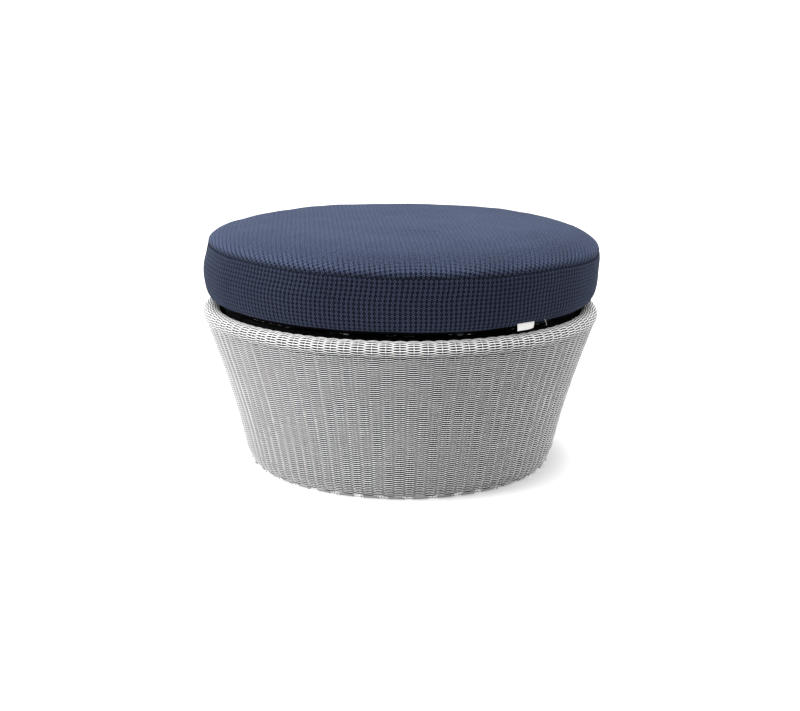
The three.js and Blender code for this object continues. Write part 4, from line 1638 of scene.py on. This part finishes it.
class OTTOMAN_OT_cushion(bpy.types.Operator):
    """Sews and stuffs the cover of the cushion: top panel, side band and base panel"""

    bl_idname = "ottoman.cushion"
    bl_label = "Cushion"

    def execute(self, context):
        settings = context.scene.ottoman_cushion
        sizes = cushion_sizes()
        radius, floor, low_seam, high_seam, top = sizes
        band_line = cushion_line(SIDE_BAND_SHARES, radius, low_seam, high_seam, COVER_STEPS)
        crown_line = cushion_line(TOP_PANEL_SHARES, radius, high_seam, top, COVER_STEPS)
        base_line = cushion_line(BASE_PANEL_SHARES, radius, floor, low_seam, COVER_STEPS)
        crease_at = crown_line_length_to(crown_line, CREASE_RADIUS)
        band = Panel(close_rows(band_line, (0.0, line_length(band_line)), *BAND_ROWS), COVER_COLUMNS)
        crown = Panel(close_rows(crown_line, (0.0, crease_at), *CROWN_ROWS), COVER_COLUMNS)
        base = Panel(close_rows(base_line, (line_length(base_line),), *BASE_ROWS), COVER_COLUMNS)
        surface = inflate(sizes)
        fit_to(band, surface, floor)
        fit_to(crown, surface, floor)
        self.draw_in(settings, band, (0.0, band.along[-1]))
        self.draw_in(settings, crown, (0.0,))
        self.draw_in(settings, base, (base.along[-1],))
        crown.points[:, :, 2] += crease_fold(crown.points)
        self.let_seams_stray(band, crown, base, sizes)
        cover = cover_material("cover_cloth", settings)
        # A black underside whose near-black colour is also painted shade in the gap under the cushion
        under = grained("base_cloth", settings.underside_colour, 0.9, 1200.0, 0.4, 0.0002, specular=0.01)
        askew = flat_round(crown.along[-1], settings.cloth_turn)
        made = (
            ("cover_side_band", band, False, flat_band, "cushion_side_band"),
            ("cover_top_panel", crown, True, askew, "cushion_top_panel"),
        )
        for name, panel, pole, flat, node in made:
            piece = shell_object(name, panel, CLOTH_THICKNESS, pole, flat)
            piece.data.materials.append(cover)
            finish_piece(piece, "cushion", [node])
        base.turn_over()
        straight = flat_round(base.along[-1], 0.0)
        piece = shell_object("cover_base_panel", base, CLOTH_THICKNESS, True, straight)
        flip(piece)
        piece.data.materials.append(under)
        finish_piece(piece, "cushion", ["cushion_base_panel"])
        return {"FINISHED"}

    def draw_in(self, settings, panel, seams):
        """Draws the cloth in at its seams and lets it lie a little unevenly between them."""
        gap = np.min([np.abs(panel.along - seam) for seam in seams], axis=0)[:, None]
        depth, scale, seed = PUCKERS
        puckers = 1 + depth * soft_noise(panel.points, scale, seed)
        groove = seam_dip(gap, settings.seam_depth, SEAM_WIDTH)
        groove = groove + seam_dip(gap, DIP_DEPTH, DIP_WIDTH) * puckers
        calm = 1 - seam_dip(gap, 1.0, CALM_WIDTH)
        soft = sum(depth * soft_noise(panel.points, scale, seed) for depth, scale, seed in SWELLS)
        panel.points += panel.outward * (soft * calm * off_zip(panel) - groove)[:, :, None]

    def let_seams_stray(self, band, crown, base, sizes):
        """Moves the seams up and down as on the real cover, and the cloth beside them with them."""
        radius, _, low_seam, high_seam, top = sizes
        for panel in (band, crown, base):
            heights = np.repeat(panel.line[:, 1][:, None], len(panel.turns), axis=1)
            stray = seam_wave(panel.turns[None, :], heights, low_seam, high_seam)
            if panel is band:
                stray = stray * off_zip(panel)
            elif panel is crown:
                stray = stray * np.clip(1 - (heights - high_seam) / (top - high_seam), 0, 1)
            else:
                share = panel.line[:, 0] / radius
                stray = stray * np.clip((share - FLAT_SHARE) / RISE_SHARE, 0, 1)[:, None]
            panel.points[:, :, 2] += stray
            lean_over(panel.points)


class OTTOMAN_OT_core(bpy.types.Operator):
    """Cuts the foam core inside the cover"""

    bl_idname = "ottoman.core"
    bl_label = "Foam core"

    def execute(self, context):
        settings = context.scene.ottoman_cushion
        radius, floor, low_seam, high_seam, top = cushion_sizes()
        inset = FOAM_INSET
        levels = (floor + inset, low_seam + inset, high_seam - inset, top - inset)
        line = whole_line(radius - FOAM_SIDE_INSET, levels, FOAM_LINE_STEPS)
        core = revolved("foam_core", line, FOAM_COLUMNS)
        smooth(core)
        core.data.materials.append(
            grained("open_foam", settings.foam_colour, 0.95, 700.0, 0.25, 0.0006, subsurface=0.1)
        )
        finish_piece(core, "cushion", ["cushion_foam"])
        return {"FINISHED"}


class OTTOMAN_OT_trim(bpy.types.Operator):
    """Sews on the zip with its teeth and stitches, and the care tag with a loose thread beside it"""

    bl_idname = "ottoman.trim"
    bl_label = "Zip and care tag"

    def execute(self, context):
        settings = context.scene.ottoman_cushion
        tape_cloth = grained("zip_tape", (0.004, 0.0055, 0.013), 0.8, 1500.0, 0.5, 0.0002, specular=0.12)
        metal = grained("zip_metal", (0.12, 0.125, 0.13), 0.35, 900.0, 0.25, 0.00003, metallic=1.0)
        teeth = grained("zip_teeth", (0.009, 0.012, 0.024), 0.4, 1200.0, 0.2, 0.00005, specular=0.3)
        thread = grained("sewing_thread", (0.03, 0.036, 0.06), 0.8, 3000.0, 0.3, 0.00005)
        tag_cloth = grained("care_tag", settings.tag_colour, 0.7, 2200.0, 0.15, 0.0001)
        paint(["zip_slider", "zip_pull"], metal)
        tape = self.tape()
        tape.data.materials.append(tape_cloth)
        finish_piece(tape, "cushion", ["zip_tape"])
        blocks = arc_tree()
        on_tape = self.band_radius(ZIP_HEIGHT) + CLOTH_GAP + TAPE_THICKNESS
        length = on_tape * (ZIP_END - ZIP_START)
        low, high = ZIP_LOW + STITCH_INSET, ZIP_HIGH - STITCH_INSET
        chain = CHAIN_THICKNESS / 2
        rows = (
            ("zip_teeth", ZIP_HEIGHT, chain, settings.zip_pitch, TOOTH_ZIGZAG, TOOTH_SIZE, teeth),
            ("zip_stitches_low", low, 0.0, STITCH_PITCH, 0.0, STITCH_SIZE, thread),
            ("zip_stitches_high", high, 0.0, STITCH_PITCH, 0.0, STITCH_SIZE, thread),
        )
        no_outline = ((0.0, 0.0),)
        for name, height, lift, pitch, zigzag, size, finish in rows:
            values = {
                "Count": int(length / pitch),
                "Start": ZIP_START + ZIP_END_MARGIN,
                "End": ZIP_END - ZIP_END_MARGIN,
                "Radius": self.band_radius(height) + CLOTH_GAP + TAPE_THICKNESS + lift,
                "Height": height,
                "Zigzag": zigzag,
                "Size": size,
                "Finish": finish,
            }
            finish_piece(grow(name, no_outline, blocks, values), "cushion")
        tag = self.tag()
        tag.data.materials.append(tag_cloth)
        finish_piece(tag, "cushion", ["care_tag"])
        loose = thin_tube("loose_thread", self.thread_path(), THREAD_THICKNESS / 2)
        loose.data.materials.append(tag_cloth)
        finish_piece(loose, "cushion")
        return {"FINISHED"}

    def band_radius(self, height):
        """Radius of the outside of the side band at a height."""
        radius, _, low_seam, high_seam, _ = cushion_sizes()
        line = np.array(cushion_line(SIDE_BAND_SHARES, radius, low_seam, high_seam, COVER_STEPS))
        return float(np.interp(height, line[:, 1], line[:, 0]))

    def tape(self):
        """The tape, laid on the band from end to end of the zip."""
        heights = np.linspace(ZIP_LOW, ZIP_HIGH, 9)
        turns = np.linspace(ZIP_START, ZIP_END, 151)
        grids = []
        for lift in (CLOTH_GAP + TAPE_THICKNESS, CLOTH_GAP):
            reach = np.array([self.band_radius(height) + lift for height in heights])[:, None]
            grids.append(swept(reach, turns, heights[:, None]))
        return closed_sheet("zip_tape_band", *grids)

    def tag(self):
        """The tag, held in the seam by its top edge, with its free lower corner curled."""
        low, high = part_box("care_tag")
        radius = math.hypot((low.x + high.x) / 2, (low.y + high.y) / 2)
        width, drop = TAG_SIZE
        rows, columns = 9, 21
        down = np.linspace(0, 1, rows)[:, None]
        across = np.linspace(-0.5, 0.5, columns)[None, :]
        curl = np.clip((across + 0.1) / 0.6, 0, 1) ** 2 * down**1.5
        turn = TAG_TURN + (across * width - CURL_BACK * curl) / radius
        tucked = TAG_TUCK * np.clip(1 - down * 4, 0, 1)
        reach = radius - tucked + CURL_OUT * curl + TAG_WAVE * np.sin(across * 9) * down
        height = high.z - down * drop + CURL_UP * curl
        half = TAG_THICKNESS / 2
        grids = [swept(r, turn, height) for r in (reach + half, reach - half)]
        return closed_sheet("curled_care_tag", *grids)

    def thread_path(self):
        """A short end of thread that hangs out of the low seam."""
        steps = 9
        path = []
        for i in range(steps):
            share = i / (steps - 1)
            turn = THREAD_START + THREAD_LEAN * share**1.4
            reach = THREAD_RADIUS + THREAD_BOW * math.sin(share * math.pi)
            height = THREAD_TOP - THREAD_DROP * share
            path.append((reach * math.sin(turn), -reach * math.cos(turn), height))
        return path


class OTTOMAN_OT_stage(bpy.types.Operator):
    """Lays the floor, sets the lights and places the camera"""

    bl_idname = "ottoman.stage"
    bl_label = "Stage"

    def execute(self, context):
        settings = context.scene.ottoman_stage
        scene = context.scene
        material, _, shader = plain_material("pale_floor", 0.9, specular=0.1)
        shader.inputs["Base Color"].default_value = (*settings.floor_colour, 1.0)
        low, high = -FLOOR_REACH, FLOOR_REACH
        corners = [(low, low, 0), (high, low, 0), (high, high, 0), (low, high, 0)]
        floor = mesh_object("floor", corners, [(0, 1, 2, 3)])
        floor.data.materials.append(material)
        world = bpy.data.worlds.new("studio")
        world.use_nodes = True
        background = world.node_tree.nodes["Background"]
        background.inputs["Color"].default_value = (1, 1, 1, 1)
        background.inputs["Strength"].default_value = settings.room_light
        scene.world = world
        soft_light("top_light", settings.top_light, *TOP_LIGHT)
        soft_light("side_light", settings.side_light, *SIDE_LIGHT)
        camera = bpy.data.objects.new("camera", bpy.data.cameras.new("camera"))
        scene.collection.objects.link(camera)
        back = Vector((0, -math.cos(settings.pitch), math.sin(settings.pitch)))
        camera.location = Vector((0, 0, settings.look_height)) + back * settings.distance
        level = Euler((math.pi / 2 - settings.pitch, 0, 0)).to_matrix()
        camera.rotation_euler = (level @ Matrix.Rotation(settings.roll, 3, "Z")).to_euler()
        camera.data.sensor_fit = "HORIZONTAL"
        camera.data.sensor_width = SENSOR_WIDTH
        camera.data.lens = settings.lens
        scene.camera = camera
        scene.view_settings.view_transform = "Standard"
        return {"FINISHED"}


class OTTOMAN_PT_panel(bpy.types.Panel):
    """Lists the steps that build the ottoman"""

    bl_label = "Woven ottoman"
    bl_idname = "OTTOMAN_PT_panel"
    bl_space_type = "VIEW_3D"
    bl_region_type = "UI"
    bl_category = "Ottoman"

    def draw(self, context):
        scene = context.scene
        for settings in (scene.ottoman_weave, scene.ottoman_cushion, scene.ottoman_stage):
            box = self.layout.box()
            for name in settings.__annotations__:
                box.prop(settings, name)
        for operator in STEPS:
            self.layout.operator(operator.bl_idname)


STEPS = (
    OTTOMAN_OT_weave,
    OTTOMAN_OT_frame,
    OTTOMAN_OT_cushion,
    OTTOMAN_OT_core,
    OTTOMAN_OT_trim,
    OTTOMAN_OT_stage,
)
SETTINGS = (
    ("ottoman_weave", WeaveSettings),
    ("ottoman_cushion", CushionSettings),
    ("ottoman_stage", StageSettings),
)


def register():
    for name, group in SETTINGS:
        bpy.utils.register_class(group)
        setattr(bpy.types.Scene, name, PointerProperty(type=group))
    for item in (*STEPS, OTTOMAN_PT_panel):
        bpy.utils.register_class(item)


def unregister():
    for item in (OTTOMAN_PT_panel, *reversed(STEPS)):
        bpy.utils.unregister_class(item)
    for name, group in reversed(SETTINGS):
        delattr(bpy.types.Scene, name)
        bpy.utils.unregister_class(group)


def main():
    register()
    for step in STEPS:
        area, name = step.bl_idname.split(".")
        getattr(getattr(bpy.ops, area), name)()


if __name__ == "__main__":
    main()
